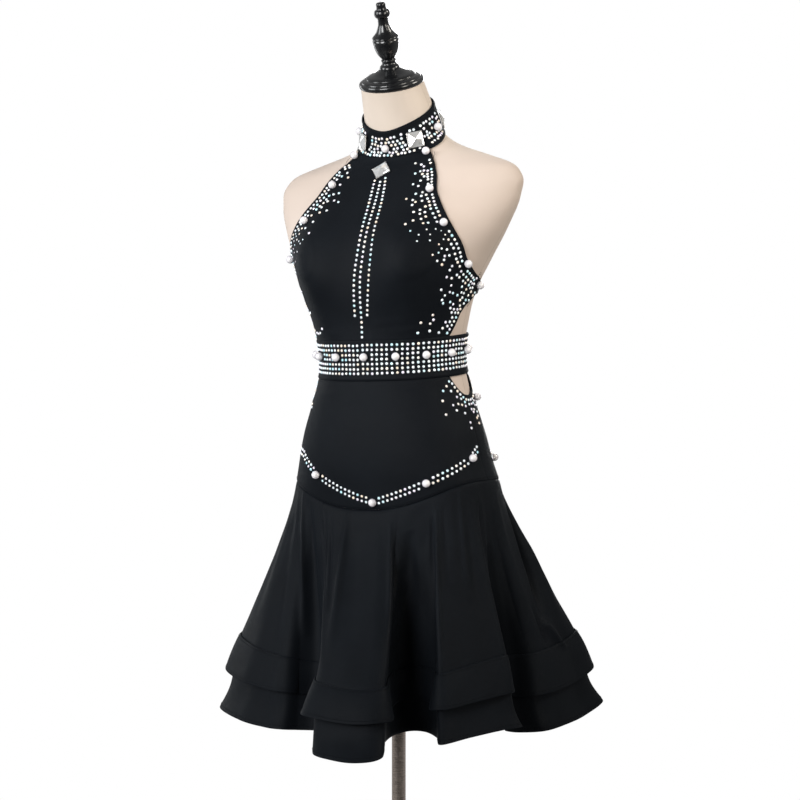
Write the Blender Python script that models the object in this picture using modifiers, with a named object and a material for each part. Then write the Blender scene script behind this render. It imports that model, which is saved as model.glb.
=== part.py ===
"""A salsa dance dress standing on its dress form, at real size.

Metres, +Z up. The origin is under the pole, in the middle of the base's underside.
The dress faces -Y; an angle is measured round the body from its front (0 degrees) towards the
wearer's left (+X, 90 degrees). A level is a height on the body's own rings, which lean forward a little.
"""

import math
from collections import namedtuple

import bmesh
import bpy
import numpy as np
from mathutils import Matrix, Vector

# ---- driving dimensions -------------------------------------------------------------------------
CLOTH_GAP = 0.0020          # form's skin to the inside of the cloth
CLOTH = 0.0013              # stretch jersey, with its turned edges
BAND = 0.0020               # belt and collar, which are doubled
SEAM = 0.0003               # clear width between two pieces that are sewn together
HOLLOW_SEAM = 0.0006        # and the step in level that leaves it where the two meet at a hollow
PEARL_RADIUS = 0.0060
PEARL_SINK = 0.0011         # how far a pearl's flat back sits in the cloth
STONE_SIDE = 0.0235         # square crystals
STONE_HEIGHT = 0.0052

BELT_BOTTOM, BELT_TOP = 1.0362, 1.0955
COLLAR_LOW, COLLAR_WIDTH = 1.3660, 0.0450
COLLAR_RISE = 0.0330        # how much higher the collar sits at the nape than at the throat
COLLAR_ROUND = 0.14         # how softly its lower edge turns at the throat
COLLAR_LEAN = 0.0015        # and how much lower it sits at the wearer's left than in the middle
STRAP_BOTTOM, STRAP_TOP, STRAP_START = 1.1525, 1.1712, 100.0
SCOOP_MIDDLE, SCOOP_HALF, SCOOP_DEPTH, SCOOP_ROUND = 93.5, 19.7, 0.0300, 0.85
HIP_SIDE_GAP, SKIRT_SIDE_GAP = 0.04, 0.085    # degrees, from a side seam's middle
DROP_SIDE, DROP_FRONT_DIP, DROP_BACK_DIP = 0.8850, 0.0410, 0.0260
SEAM_STAND_OFF = 0.0030     # the drop seam is thick, and lifts the cloth off the form

# Levels on the skirt: a share of the way from the drop seam to the lower hem, and how much more it is
# on the side that it leans towards (an angle in degrees).
Tier = namedtuple("Tier", "share sway towards")
SKIRT_TOP, LOWER_HEM = Tier(0.0, 0.0, 0.0), Tier(1.0, 0.0, 0.0)
FLOUNCE_SEAM, UPPER_HEM = Tier(0.689, 0.041, 17.0), Tier(0.845, 0.018, 40.0)
FLOUNCE_START_OFF, FLOUNCE_HEM_OFF = 0.0038, 0.0125
UNDER_SEAM, OVER_SEAM = 0.0015, 0.0060   # shares: the clear step to the lower flounce, the upper one's lap
HIP_FLOW = 0.55             # how much the skirt clings to the hips before it swings out
HEM_FLICK, FLICK_BEND = 0.078, 1.6       # how far the stiff lower hem turns out, and how late

TORSO_RIM = 0.022
POLE_RADIUS, POLE_BOTTOM = 0.0103, 0.0165
BASE_RADIUS = 0.1600

TORSO_COLUMNS, BELT_COLUMNS, COLLAR_COLUMNS = 44, 44, 36
BODICE_COLUMNS, HIP_COLUMNS = 24, 20
SKIRT_FRONT_COLUMNS, SKIRT_BACK_COLUMNS = 60, 44
# Rows, as shares of a piece's height: a short one at each sewn edge keeps both sides of a seam square.
COLLAR_ROWS = (0.0, 0.04, 0.22, 0.45, 0.72, 1.0)
BELT_ROWS = (0.0, 0.03, 0.97, 1.0)
HIP_ROWS = (0.0, 0.015, 0.22, 0.48, 0.74, 0.985, 1.0)
STRAP_ROWS = (0.0, 1.0)
SKIRT_ROWS = (0.0, 0.20, 0.40, 0.60, 0.80, 0.992, 1.0)
FLOUNCE_ROWS = (0.0, 0.5, 1.0)

# The form's rings, bottom to top. squareness is the power of the superellipse. tilt is a ring's slope
# up towards the back, and lean its slope up towards the wearer's left.
Ring = namedtuple("Ring", "level half_width front back centre_y tilt squareness lean", defaults=(0.0,))
RINGS = (
    Ring(0.800, 0.150, 0.085, 0.110, 0.000, 0.000, 2.30),
    Ring(0.850, 0.153, 0.092, 0.116, -0.004, 0.000, 2.35),
    Ring(0.900, 0.1455, 0.093, 0.116, -0.014, 0.030, 2.35),
    Ring(0.950, 0.1355, 0.091, 0.106, -0.018, 0.060, 2.30),
    Ring(1.000, 0.121, 0.088, 0.092, -0.018, 0.090, 2.20),
    Ring(1.040, 0.1115, 0.086, 0.084, -0.017, 0.115, 2.10),
    Ring(1.070, 0.110, 0.086, 0.083, -0.018, 0.115, 2.10),
    Ring(1.110, 0.116, 0.088, 0.085, -0.018, 0.100, 2.15),
    Ring(1.160, 0.130, 0.092, 0.088, -0.018, 0.080, 2.20),
    Ring(1.200, 0.150, 0.094, 0.095, -0.014, 0.070, 2.20),
    Ring(1.250, 0.179, 0.090, 0.095, -0.009, 0.060, 2.10),
    Ring(1.295, 0.197, 0.070, 0.085, -0.001, 0.050, 2.10),
    Ring(1.325, 0.197, 0.056, 0.074, 0.005, 0.070, 2.10),
    Ring(1.342, 0.180, 0.050, 0.064, 0.009, 0.110, 2.00),
    Ring(1.356, 0.140, 0.046, 0.058, 0.013, 0.190, 2.00),
    Ring(1.371, 0.092, 0.045, 0.054, 0.015, 0.280, 2.00),
    Ring(1.388, 0.063, 0.046, 0.052, 0.013, 0.340, 2.00),
    Ring(1.410, 0.055, 0.047, 0.050, 0.006, 0.360, 2.00),
    Ring(1.437, 0.0510, 0.0455, 0.0475, -0.006, 0.385, 2.00, -0.030),
    Ring(1.465, 0.0465, 0.0430, 0.0450, -0.020, 0.447, 2.00, -0.087),
)
BUST_X, BUST_LEVEL, BUST_HEIGHT = 0.080, 1.198, 0.034
BUST_WIDTH, BUST_BELOW, BUST_ABOVE = 0.040, 0.046, 0.0575

# The bodice's side edge, from the belt out to the strap and up the armhole to the collar.
Edge = namedtuple("Edge", "level angle")
BODICE_EDGE = (
    Edge(BELT_TOP, 73.5), Edge(1.0965, 74.0), Edge(1.1100, 78.7), Edge(1.1310, 85.0), Edge(1.1446, 92.6),
    Edge(STRAP_BOTTOM, STRAP_START), Edge(STRAP_TOP, STRAP_START), Edge(1.1785, 92.0), Edge(1.1880, 82.0),
    Edge(1.2026, 70.5), Edge(1.2236, 59.8), Edge(1.2443, 49.7), Edge(1.2650, 40.9),
    Edge(1.2868, 33.2), Edge(1.3099, 27.8), Edge(1.3270, 26.6), Edge(1.3440, 27.9),
    Edge(1.3590, 34.5), Edge(1.3695, 46.5), Edge(1.3700, 47.0),
)

BODICE_BEND_FROM = 1.3000

# The lower hem round the body: where it is from above, how high, the angle on the drop seam that it
# hangs from, and how far the upper flounce may stand off there (1 on a fold, less in a valley).
HemMark = namedtuple("HemMark", "angle radius height seam_angle open")
HEM_MARKS = (
    HemMark(-75.9, 0.282, 0.535, -80.0, 1.00), HemMark(-55.0, 0.235, 0.529, -61.0, 1.00),
    HemMark(-39.5, 0.208, 0.527, -51.0, 1.00), HemMark(-32.5, 0.191, 0.526, -46.0, 0.80),
    HemMark(-31.2, 0.166, 0.524, -41.0, 0.35),
    HemMark(-23.5, 0.145, 0.524, -34.0, 0.25), HemMark(-9.1, 0.157, 0.525, -28.5, 0.35),      # valley
    HemMark(-1.7, 0.211, 0.521, -24.5, 1.20), HemMark(3.2, 0.260, 0.516, -21.0, 1.70),
    HemMark(10.5, 0.278, 0.513, -13.0, 1.20), HemMark(16.8, 0.287, 0.512, -3.0, 1.00),
    HemMark(22.3, 0.287, 0.514, 7.0, 1.00), HemMark(25.3, 0.273, 0.518, 13.0, 1.00),
    HemMark(25.0, 0.236, 0.523, 15.5, 0.80), HemMark(24.3, 0.191, 0.525, 18.0, 0.50),
    HemMark(27.6, 0.155, 0.529, 22.5, 0.30), HemMark(36.6, 0.139, 0.532, 28.5, 0.30),         # valley
    HemMark(45.3, 0.146, 0.531, 34.5, 0.35), HemMark(47.9, 0.177, 0.527, 38.5, 0.60),
    HemMark(45.3, 0.221, 0.525, 41.5, 1.00), HemMark(57.5, 0.214, 0.531, 53.0, 1.00),
    HemMark(70.3, 0.219, 0.537, 67.0, 1.00), HemMark(78.5, 0.230, 0.540, 76.0, 1.00),
    HemMark(85.0, 0.206, 0.535, 80.0, 0.70),
    HemMark(89.9, 0.180, 0.527, 83.0, 0.30), HemMark(95.4, 0.171, 0.521, 86.0, 0.30),         # valley
    HemMark(100.0, 0.187, 0.518, 89.5, 0.70), HemMark(101.7, 0.223, 0.521, 94.0, 1.00),
    HemMark(110.7, 0.246, 0.525, 101.0, 1.00), HemMark(121.0, 0.276, 0.532, 107.0, 1.00),
    HemMark(129.2, 0.311, 0.548, 114.0, 1.00), HemMark(137.0, 0.282, 0.550, 120.0, 0.80),
    HemMark(144.0, 0.210, 0.546, 128.0, 0.30),                                                # valley
    HemMark(152.0, 0.266, 0.550, 138.0, 1.00), HemMark(166.0, 0.266, 0.552, 156.0, 1.00),
    HemMark(177.0, 0.170, 0.545, 168.0, 0.30),                                                # valley
    HemMark(189.0, 0.264, 0.551, 181.0, 1.00), HemMark(205.0, 0.276, 0.550, 200.0, 1.00),
    HemMark(216.0, 0.165, 0.543, 212.0, 0.30),                                                # valley
    HemMark(227.0, 0.258, 0.547, 223.0, 1.00), HemMark(243.0, 0.270, 0.545, 243.0, 1.00),
    HemMark(255.0, 0.198, 0.540, 254.0, 0.40),                                                # valley
    HemMark(266.0, 0.270, 0.538, 264.0, 1.00),
)

# Pearls, as (angle, level) on each panel.
BELT_PEARLS, BELT_PEARL_START, BELT_PEARL_LEVEL = 15, 2.7, 1.0715
BODICE_PEARLS = (
    (36.5, 1.3680), (26.2, 1.3015), (41.6, 1.2533), (70.3, 1.1988), (95.6, 1.1680),
    (-37.5, 1.3690), (-21.3, 1.3163), (-31.8, 1.2640), (-53.0, 1.2133), (-95.6, 1.1680),
)
HIP_FRONT_PEARLS = ((4.0, 0.8545), (37.0, 0.8843), (78.0, 0.9170), (-28.5, 0.8940), (-71.0, 0.9260))
HIP_BACK_PEARLS = (
    (121.0, 0.9120), (152.0, 0.8880), (180.0, 0.8720), (208.0, 0.8880), (239.0, 0.9120),
    (111.0, 1.0000), (249.0, 1.0000),
)
# The collar's pearls and square crystals sit at a share of its width up from its lower edge.
COLLAR_PEARLS = ((0.0, 0.43), (85.0, 0.43), (-69.0, 0.55))
COLLAR_STONES = (("front_left", 42.0), ("front_right", -42.5), ("back_left", 116.0), ("back_right", -116.0))
COLLAR_STONE_SHARE = 0.41
# The fifth crystal hangs point down on the bodice.
BODICE_STONE_LEVEL = 1.3384
BODICE_STONE_TURN = -8.0     # degrees from standing on its corner

# The turned finial and the cap under it: radius and height above the neck's flat top, in metres.
CAP_PROFILE = (
    (0.0000, 0.0240), (0.0150, 0.0240), (0.0190, 0.0215), (0.0250, 0.0185), (0.0345, 0.0150),
    (0.0365, 0.0125), (0.0400, 0.0115), (0.0430, 0.0085), (0.0475, 0.0075), (0.0482, 0.0050),
    (0.0478, 0.0015), (0.0465, 0.0003), (0.0000, 0.0003),
)
FINIAL_PROFILE = (
    (0.0000, 0.1226), (0.0055, 0.1219), (0.0072, 0.1192), (0.0070, 0.1140), (0.0078, 0.1122),
    (0.0108, 0.1102), (0.0118, 0.1060), (0.0106, 0.1018), (0.0080, 0.0995), (0.0076, 0.0955),
    (0.0080, 0.0900), (0.0098, 0.0855), (0.0118, 0.0805), (0.0155, 0.0760), (0.0184, 0.0728),
    (0.0195, 0.0712), (0.0187, 0.0686), (0.0195, 0.0662), (0.0189, 0.0610), (0.0176, 0.0540),
    (0.0148, 0.0470), (0.0106, 0.0405), (0.0094, 0.0390), (0.0112, 0.0370), (0.0100, 0.0345),
    (0.0104, 0.0315), (0.0142, 0.0275), (0.0150, 0.0243), (0.0000, 0.0243),
)
BASE_PROFILE = (
    (0.0000, 0.0162), (0.0200, 0.0162), (0.1300, 0.0105), (BASE_RADIUS - 0.004, 0.0080),
    (BASE_RADIUS, 0.0045), (BASE_RADIUS, 0.0000), (0.0000, 0.0000),
)
SOCKET_PROFILE = (
    (0.0106, 0.0600), (0.0150, 0.0600), (0.0165, 0.0580), (0.0165, 0.0300), (0.0240, 0.0230),
    (0.0280, 0.0195), (0.0280, 0.0168), (0.0106, 0.0168),
)


# ---- the form's surface -------------------------------------------------------------------------
def ring_value(column, level):
    """A column of RINGS at any level, along a smooth curve through its rows."""
    levels = np.array([ring.level for ring in RINGS])
    values = np.array([getattr(ring, column) for ring in RINGS])
    slopes = np.gradient(values, levels)
    level = min(max(level, levels[0]), levels[-1])
    i = min(max(int(np.searchsorted(levels, level)) - 1, 0), len(levels) - 2)
    span = levels[i + 1] - levels[i]
    t = (level - levels[i]) / span
    return float(
        (2 * t**3 - 3 * t**2 + 1) * values[i] + (t**3 - 2 * t**2 + t) * span * slopes[i]
        + (3 * t**2 - 2 * t**3) * values[i + 1] + (t**3 - t**2) * span * slopes[i + 1]
    )


def form_point(angle, level):
    """The point of the form's skin at this angle in degrees and this level."""
    power = 2.0 / ring_value("squareness", level)
    side, ahead = math.sin(math.radians(angle)), math.cos(math.radians(angle))
    depth = ring_value("front" if ahead > 0 else "back", level)
    x = ring_value("half_width", level) * math.copysign(abs(side) ** power, side)
    y = -depth * math.copysign(abs(ahead) ** power, ahead)
    rise = BUST_ABOVE if level > BUST_LEVEL else BUST_BELOW
    for bust_x in (-BUST_X, BUST_X):
        spread = ((x - bust_x) / BUST_WIDTH) ** 2 + ((level - BUST_LEVEL) / rise) ** 2
        y -= BUST_HEIGHT * math.exp(-spread / 2) * math.sqrt(max(ahead, 0.0))
    height = level + ring_value("tilt", level) * y + ring_value("lean", level) * x
    return Vector((x, ring_value("centre_y", level) + y, height))


def form_normal(angle, level):
    """The direction that faces away from the form there."""
    step, rise = 0.05, 0.0002
    round_it = form_point(angle + step, level) - form_point(angle - step, level)
    up_it = form_point(angle, level + rise) - form_point(angle, level - rise)
    return round_it.cross(up_it).normalized()


def over_form(angle, level, out):
    return form_point(angle, level) + form_normal(angle, level) * out


# ---- modelling helpers --------------------------------------------------------------------------
def collection(name):
    made = bpy.data.collections.new(name)
    bpy.context.scene.collection.children.link(made)
    return made


def finish(name, colour, roughness, metallic=0.0):
    material = bpy.data.materials.new(name)
    material.use_nodes = True
    shader = material.node_tree.nodes["Principled BSDF"]
    shader.inputs["Base Color"].default_value = (*colour, 1.0)
    shader.inputs["Roughness"].default_value = roughness
    shader.inputs["Metallic"].default_value = metallic
    return material


def add_object(name, bm, material, into, smooth_below=50.0):
    mesh = bpy.data.meshes.new(name)
    bm.to_mesh(mesh)
    bm.free()
    mesh.materials.append(material)
    mesh.shade_smooth()
    mesh.set_sharp_from_angle(angle=math.radians(smooth_below))
    made = bpy.data.objects.new(name, mesh)
    into.objects.link(made)
    return made


def grid(columns, row_shares, place):
    """A sheet whose points place puts by their share of the way across and their row's share up."""
    bm = bmesh.new()
    rows = len(row_shares) - 1
    bmesh.ops.create_grid(bm, x_segments=columns, y_segments=rows, size=0.5)
    for vertex in bm.verts:
        across = round((vertex.co.x + 0.5) * columns) / columns
        vertex.co = place(across, row_shares[round((vertex.co.y + 0.5) * rows)])
    bmesh.ops.remove_doubles(bm, verts=bm.verts, dist=1e-6)
    return bm


def wall(name, bm, thickness, material, into):
    """The open sheet bm as a cloth wall, thickened away from the form."""
    made = add_object(name, bm, material, into)
    shell = made.modifiers.new("Cloth thickness", "SOLIDIFY")
    shell.thickness = thickness
    shell.offset = 1.0
    return made


def add_pearls(panel, places, out, helpers):
    """Joins flat-backed pearls to the outside of a panel; places are (angle, level) on the form."""
    bm = bmesh.new()
    back = PEARL_RADIUS * math.cos(math.radians(45.0))       # the middle's height over the flat back
    for angle, level in places:
        middle = over_form(angle, level, out + back - PEARL_SINK)
        turn = form_normal(angle, level).to_track_quat("Z", "Y").to_matrix().to_4x4()
        made = bmesh.ops.create_uvsphere(bm, u_segments=6, v_segments=4, radius=PEARL_RADIUS)["verts"]
        for vertex in made:
            vertex.co.z = max(vertex.co.z, -back)
        bmesh.ops.transform(bm, matrix=Matrix.Translation(middle) @ turn, verts=made)
    tool = add_object(panel.name + "_pearls", bm, panel.data.materials[0], helpers)
    tool.hide_render = True
    tool.display_type = "WIRE"
    join = panel.modifiers.new("Pearls", "BOOLEAN")
    join.operation = "UNION"
    join.object = tool


def turned(name, profile, steps, material, into, loop=False):
    """A profile of (radius, height) spun round Z; it runs down its outer side."""
    bm = bmesh.new()
    points = [bm.verts.new((radius, 0.0, height)) for radius, height in profile]
    for upper, lower in zip(points, points[1:]):
        bm.edges.new((upper, lower))
    if loop:
        bm.edges.new((points[-1], points[0]))
    made = add_object(name, bm, material, into)
    spin = made.modifiers.new("Turning", "SCREW")
    spin.steps = steps
    spin.render_steps = steps
    spin.use_merge_vertices = True
    spin.merge_threshold = 0.00005
    return made


def stand_on_neck(turned_object):
    """Puts a turned piece on the neck's flat top, which faces up and forward."""
    top = RINGS[-1]
    turned_object.location = (0.0, top.centre_y, top.level)
    facing = Vector((-top.lean, -top.tilt, 1.0))
    turned_object.rotation_euler = facing.to_track_quat("Z", "Y").to_euler()


# ---- the dress form -----------------------------------------------------------------------------
def torso_levels():
    """The rings' own levels, with one more in each tall gap, and in those where the neck flares."""
    levels = []
    for lower, upper in zip(RINGS, RINGS[1:]):
        levels.append(lower.level)
        if upper.level - lower.level > (0.016 if 1.37 < lower.level < 1.40 else 0.035):
            levels.append((lower.level + upper.level) / 2)
    return levels + [RINGS[-1].level]


def torso(material, into):
    levels = torso_levels()

    def place(across, row):
        angle = across * 360.0
        if row >= 2:
            return form_point(angle, levels[row - 2])
        # The bottom edge is rounded in over two rows.
        inset, drop = ((0.86, TORSO_RIM), (0.965, 0.65 * TORSO_RIM))[row]
        skin = form_point(angle, levels[0])
        return Vector((skin.x * inset, skin.y * inset, skin.z - drop))

    bm = grid(TORSO_COLUMNS, range(len(levels) + 2), place)
    bmesh.ops.holes_fill(bm, edges=bm.edges[:], sides=0)
    bmesh.ops.recalc_face_normals(bm, faces=bm.faces[:])
    return add_object("form_torso", bm, material, into)


# ---- the dress ----------------------------------------------------------------------------------
def collar_bottom(angle):
    half = math.sin(math.radians(angle) / 2)
    rise = COLLAR_RISE * (math.hypot(half, COLLAR_ROUND) - COLLAR_ROUND)
    return COLLAR_LOW + rise - COLLAR_LEAN * math.sin(math.radians(angle))


def collar(material, into):
    def place(across, up):
        angle = across * 360.0
        return over_form(angle, collar_bottom(angle) + COLLAR_WIDTH * up, CLOTH_GAP)

    return wall("collar", grid(COLLAR_COLUMNS, COLLAR_ROWS, place), BAND, material, into)


def bodice(material, into):
    """The halter front: rows from the belt up to the collar, each as wide as its edges say."""
    def place(across, edge):
        angle = edge.angle * (2 * across - 1)
        # The rows bend more and more with the collar's lower edge, and the last one follows it.
        bend = max(0.0, (edge.level - BODICE_BEND_FROM) / (BODICE_EDGE[-1].level - BODICE_BEND_FROM))
        level = edge.level + bend * (collar_bottom(angle) - HOLLOW_SEAM - BODICE_EDGE[-1].level)
        return over_form(angle, max(level, BELT_TOP + SEAM), CLOTH_GAP)

    return wall("bodice_front", grid(BODICE_COLUMNS, BODICE_EDGE, place), CLOTH, material, into)


def back_strap(material, into):
    start = STRAP_START + 0.2

    def place(across, up):
        angle = start + (360.0 - 2 * start) * across
        return over_form(angle, STRAP_BOTTOM + (STRAP_TOP - STRAP_BOTTOM) * up, CLOTH_GAP)

    return wall("back_strap", grid(18, STRAP_ROWS, place), CLOTH, material, into)


def belt(material, into):
    def place(across, up):
        return over_form(across * 360.0, BELT_BOTTOM + (BELT_TOP - BELT_BOTTOM) * up, CLOTH_GAP)

    return wall("waist_belt", grid(BELT_COLUMNS, BELT_ROWS, place), BAND, material, into)


def hip_top(angle):
    """The hips' upper edge: under the belt, but scooped out at each side."""
    from_scoop = (abs((angle + 180.0) % 360.0 - 180.0) - SCOOP_MIDDLE) / SCOOP_HALF
    if abs(from_scoop) >= 1.0:
        return BELT_BOTTOM - SEAM
    return BELT_BOTTOM - SEAM - SCOOP_DEPTH * math.cos(math.pi / 2 * from_scoop) ** SCOOP_ROUND


def drop_seam(angle):
    """The level of the seam between hips and skirt, which dips at the front and the back."""
    ahead = math.cos(math.radians(angle))
    dip = DROP_FRONT_DIP if ahead > 0 else DROP_BACK_DIP
    return DROP_SIDE - dip * abs(ahead) ** 3


def hip_panel(name, first_angle, last_angle, material, into):
    def place(across, up):
        angle = first_angle + HIP_SIDE_GAP + (last_angle - first_angle - 2 * HIP_SIDE_GAP) * across
        low = drop_seam(angle) + SEAM
        stand_off = SEAM_STAND_OFF * max(0.0, 1.0 - up * 3.0) ** 2
        return over_form(angle, low + (hip_top(angle) - low) * up, CLOTH_GAP + stand_off)

    return wall(name, grid(HIP_COLUMNS, HIP_ROWS, place), CLOTH, material, into)


def hem_place(angle):
    """The place of an angle on the drop seam along the hem's marks, counted from the first of them."""
    first = HEM_MARKS[0].seam_angle
    hangs_from = [mark.seam_angle for mark in HEM_MARKS] + [first + 360.0]
    turns = math.floor((angle - first) / 360.0)
    return turns * len(HEM_MARKS) + float(np.interp(angle - 360.0 * turns, hangs_from, range(len(hangs_from))))


def seam_angle_at(place):
    """The angle on the drop seam of a place along the hem's marks."""
    count = len(HEM_MARKS)
    hangs_from = [mark.seam_angle for mark in HEM_MARKS] + [HEM_MARKS[0].seam_angle + 360.0]
    turns = math.floor(place / count)
    return 360.0 * turns + float(np.interp(place - count * turns, range(count + 1), hangs_from))


def hem_under(angle):
    """The hem's point under an angle on the drop seam, on a smooth closed curve through its marks."""
    place = hem_place(angle)
    number = math.floor(place)
    near = [HEM_MARKS[(number + step) % len(HEM_MARKS)] for step in (-1, 0, 1, 2)]
    before, start, end, after = (
        Vector((
            mark.radius * math.sin(math.radians(mark.angle)), -mark.radius * math.cos(math.radians(mark.angle)),
            mark.height
        )) for mark in near
    )
    t = place - number
    bend = (2 * before - 5 * start + 4 * end - after) * t**2
    twist = (3 * start - before - 3 * end + after) * t**3
    return (2 * start + (end - before) * t + bend + twist) / 2


def openness(angle):
    """How far the upper flounce may stand off under an angle, from 0 to 1."""
    place = hem_place(angle)
    number = math.floor(place)
    now, after = (HEM_MARKS[(number + step) % len(HEM_MARKS)].open for step in (0, 1))
    return now + (after - now) * (place - number)


def tier_share(tier, angle):
    return tier.share + tier.sway * math.cos(math.radians(angle - tier.towards))


def swing_out(angle, share):
    """How far towards the lower hem the skirt has swung out, as a share of the way."""
    swing = (1 - HIP_FLOW) * share + HIP_FLOW * (3 * share**2 - 2 * share**3)
    seam = tier_share(FLOUNCE_SEAM, angle)
    below = min(max((share - seam) / (1.0 - seam), 0.0), 1.0)
    return swing - HEM_FLICK * math.sin(math.pi * below**FLICK_BEND)


def skirt_point(angle, share, out=0.0):
    """The skirt under an angle on the drop seam, at a share of the way down to the lower hem."""
    def plain(angle, share):
        seam = over_form(angle, drop_seam(angle) - HOLLOW_SEAM, CLOTH_GAP + SEAM_STAND_OFF)
        hem = hem_under(angle)
        point = seam.lerp(hem, swing_out(angle, share))
        point.z = seam.z + (hem.z - seam.z) * share
        return point

    if not out:
        return plain(angle, share)
    sideways = plain(angle + 0.25, share) - plain(angle - 0.25, share)
    upward = plain(angle, share - 0.01) - plain(angle, share + 0.01)
    return plain(angle, share) + sideways.cross(upward).normalized() * out


def skirt_piece(name, half, top, bottom, rows, material, into, start_off=0.0, hem_off=0.0):
    """Half of the skirt between two tiers; it stands off the skirt by start_off at its top and by
    hem_off at its hem, where the folds are open. Its columns follow the hem's marks."""
    first, last, columns = half
    first_place, last_place = hem_place(first + SKIRT_SIDE_GAP), hem_place(last - SKIRT_SIDE_GAP)

    def place(across, up):
        angle = seam_angle_at(first_place + (last_place - first_place) * across)
        out = start_off + (hem_off - start_off) * (1.0 - up) * openness(angle)
        low, high = tier_share(bottom, angle), tier_share(top, angle)
        return skirt_point(angle, low + (high - low) * up, out)

    return wall(name, grid(columns, rows, place), CLOTH, material, into)


def skirt(material, into):
    under_seam = FLOUNCE_SEAM._replace(share=FLOUNCE_SEAM.share + UNDER_SEAM)
    over_seam = FLOUNCE_SEAM._replace(share=FLOUNCE_SEAM.share - OVER_SEAM)
    for side, half in (("front", (-90.0, 90.0, SKIRT_FRONT_COLUMNS)), ("back", (90.0, 270.0, SKIRT_BACK_COLUMNS))):
        skirt_piece("skirt_" + side, half, SKIRT_TOP, FLOUNCE_SEAM, SKIRT_ROWS, material, into)
        skirt_piece("lower_flounce_" + side, half, under_seam, LOWER_HEM, FLOUNCE_ROWS, material, into)
        skirt_piece(
            "upper_flounce_" + side, half, over_seam, UPPER_HEM, FLOUNCE_ROWS, material, into,
            FLOUNCE_START_OFF, FLOUNCE_HEM_OFF
        )


def crystal(name, angle, level, out, spin, material, into):
    """A square stone with a cut top, as low on the cloth at this place as its flat back allows."""
    bm = bmesh.new()
    bmesh.ops.create_cone(
        bm, cap_ends=True, segments=4, radius1=STONE_SIDE / math.sqrt(2), radius2=STONE_SIDE * 0.40,
        depth=STONE_HEIGHT
    )
    made = add_object(name, bm, material, into, smooth_below=5.0)
    cloth = over_form(angle, level, out)
    direction = form_normal(angle, level)
    along = (over_form(angle + 1.0, level, out) - over_form(angle - 1.0, level, out)).normalized()
    facing = Matrix((along, direction.cross(along), direction)).transposed()
    reach = STONE_SIDE * 0.62
    turn = math.degrees(reach / math.hypot(cloth.x, cloth.y))
    around = [
        over_form(angle + turn * right, level + reach * up, out) for right in (-1, 0, 1) for up in (-1, 0, 1)
    ]
    rise = max((point - cloth).dot(direction) for point in around)
    middle = cloth + direction * (rise + SEAM + STONE_HEIGHT / 2)
    made.matrix_world = (
        Matrix.Translation(middle) @ facing.to_4x4() @ Matrix.Rotation(math.radians(spin), 4, "Z")
    )
    return made


# ---- putting it together ------------------------------------------------------------------------
def main():
    for old in list(bpy.data.objects):
        bpy.data.objects.remove(old)
    dress = collection("Salsa dress on form")
    helpers = collection("Pearl shapes")

    cloth = finish("black jersey", (0.012, 0.013, 0.016), 0.62)
    skin = finish("form cover", (0.72, 0.60, 0.50), 0.85)
    lacquer = finish("black lacquered wood", (0.012, 0.012, 0.012), 0.18)
    steel = finish("brushed steel", (0.55, 0.54, 0.52), 0.30, 1.0)
    glass = finish("silver crystal", (0.80, 0.80, 0.80), 0.08, 0.6)

    torso(skin, dress)
    stand_on_neck(turned("neck_cap", CAP_PROFILE, 24, lacquer, dress))
    stand_on_neck(turned("finial", FINIAL_PROFILE, 16, lacquer, dress))
    pole_top = RINGS[0].level - TORSO_RIM - SEAM
    turned(
        "pole",
        ((0.0, pole_top), (POLE_RADIUS, pole_top), (POLE_RADIUS, POLE_BOTTOM), (0.0, POLE_BOTTOM)),
        20, steel, dress
    )
    turned("base", BASE_PROFILE, 36, steel, dress)
    turned("pole_socket", SOCKET_PROFILE, 16, steel, dress, loop=True)

    neckband = collar(cloth, dress)
    front = bodice(cloth, dress)
    back_strap(cloth, dress)
    waist = belt(cloth, dress)
    hip_front = hip_panel("hip_front", -90.0, 90.0, cloth, dress)
    hip_back = hip_panel("hip_back", 90.0, 270.0, cloth, dress)
    skirt(cloth, dress)

    add_pearls(
        neckband, [(angle, collar_bottom(angle) + COLLAR_WIDTH * share) for angle, share in COLLAR_PEARLS],
        CLOTH_GAP + BAND, helpers
    )
    add_pearls(front, BODICE_PEARLS, CLOTH_GAP + CLOTH, helpers)
    add_pearls(
        waist, [(BELT_PEARL_START + i * 360.0 / BELT_PEARLS, BELT_PEARL_LEVEL) for i in range(BELT_PEARLS)],
        CLOTH_GAP + BAND, helpers
    )
    add_pearls(hip_front, HIP_FRONT_PEARLS, CLOTH_GAP + CLOTH, helpers)
    add_pearls(hip_back, HIP_BACK_PEARLS, CLOTH_GAP + CLOTH, helpers)

    for side, angle in COLLAR_STONES:
        level = collar_bottom(angle) + COLLAR_WIDTH * COLLAR_STONE_SHARE
        crystal("collar_crystal_" + side, angle, level, CLOTH_GAP + BAND, 45.0, glass, dress)
    crystal("bodice_crystal", -0.7, BODICE_STONE_LEVEL, CLOTH_GAP + CLOTH, BODICE_STONE_TURN, glass, dress)


main()
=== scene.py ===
"""The looks of a salsa dance dress on its dress form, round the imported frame.

Metres, +Z up. The dress faces -Y. An angle is measured round the body in degrees, from its front
towards the wearer's left (+X); a level is a height on the body's own rings, which lean forward a little.
"""

import math
import random
from collections import namedtuple
from itertools import product

import bpy
import numpy as np
from mathutils import Matrix, Vector


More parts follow.
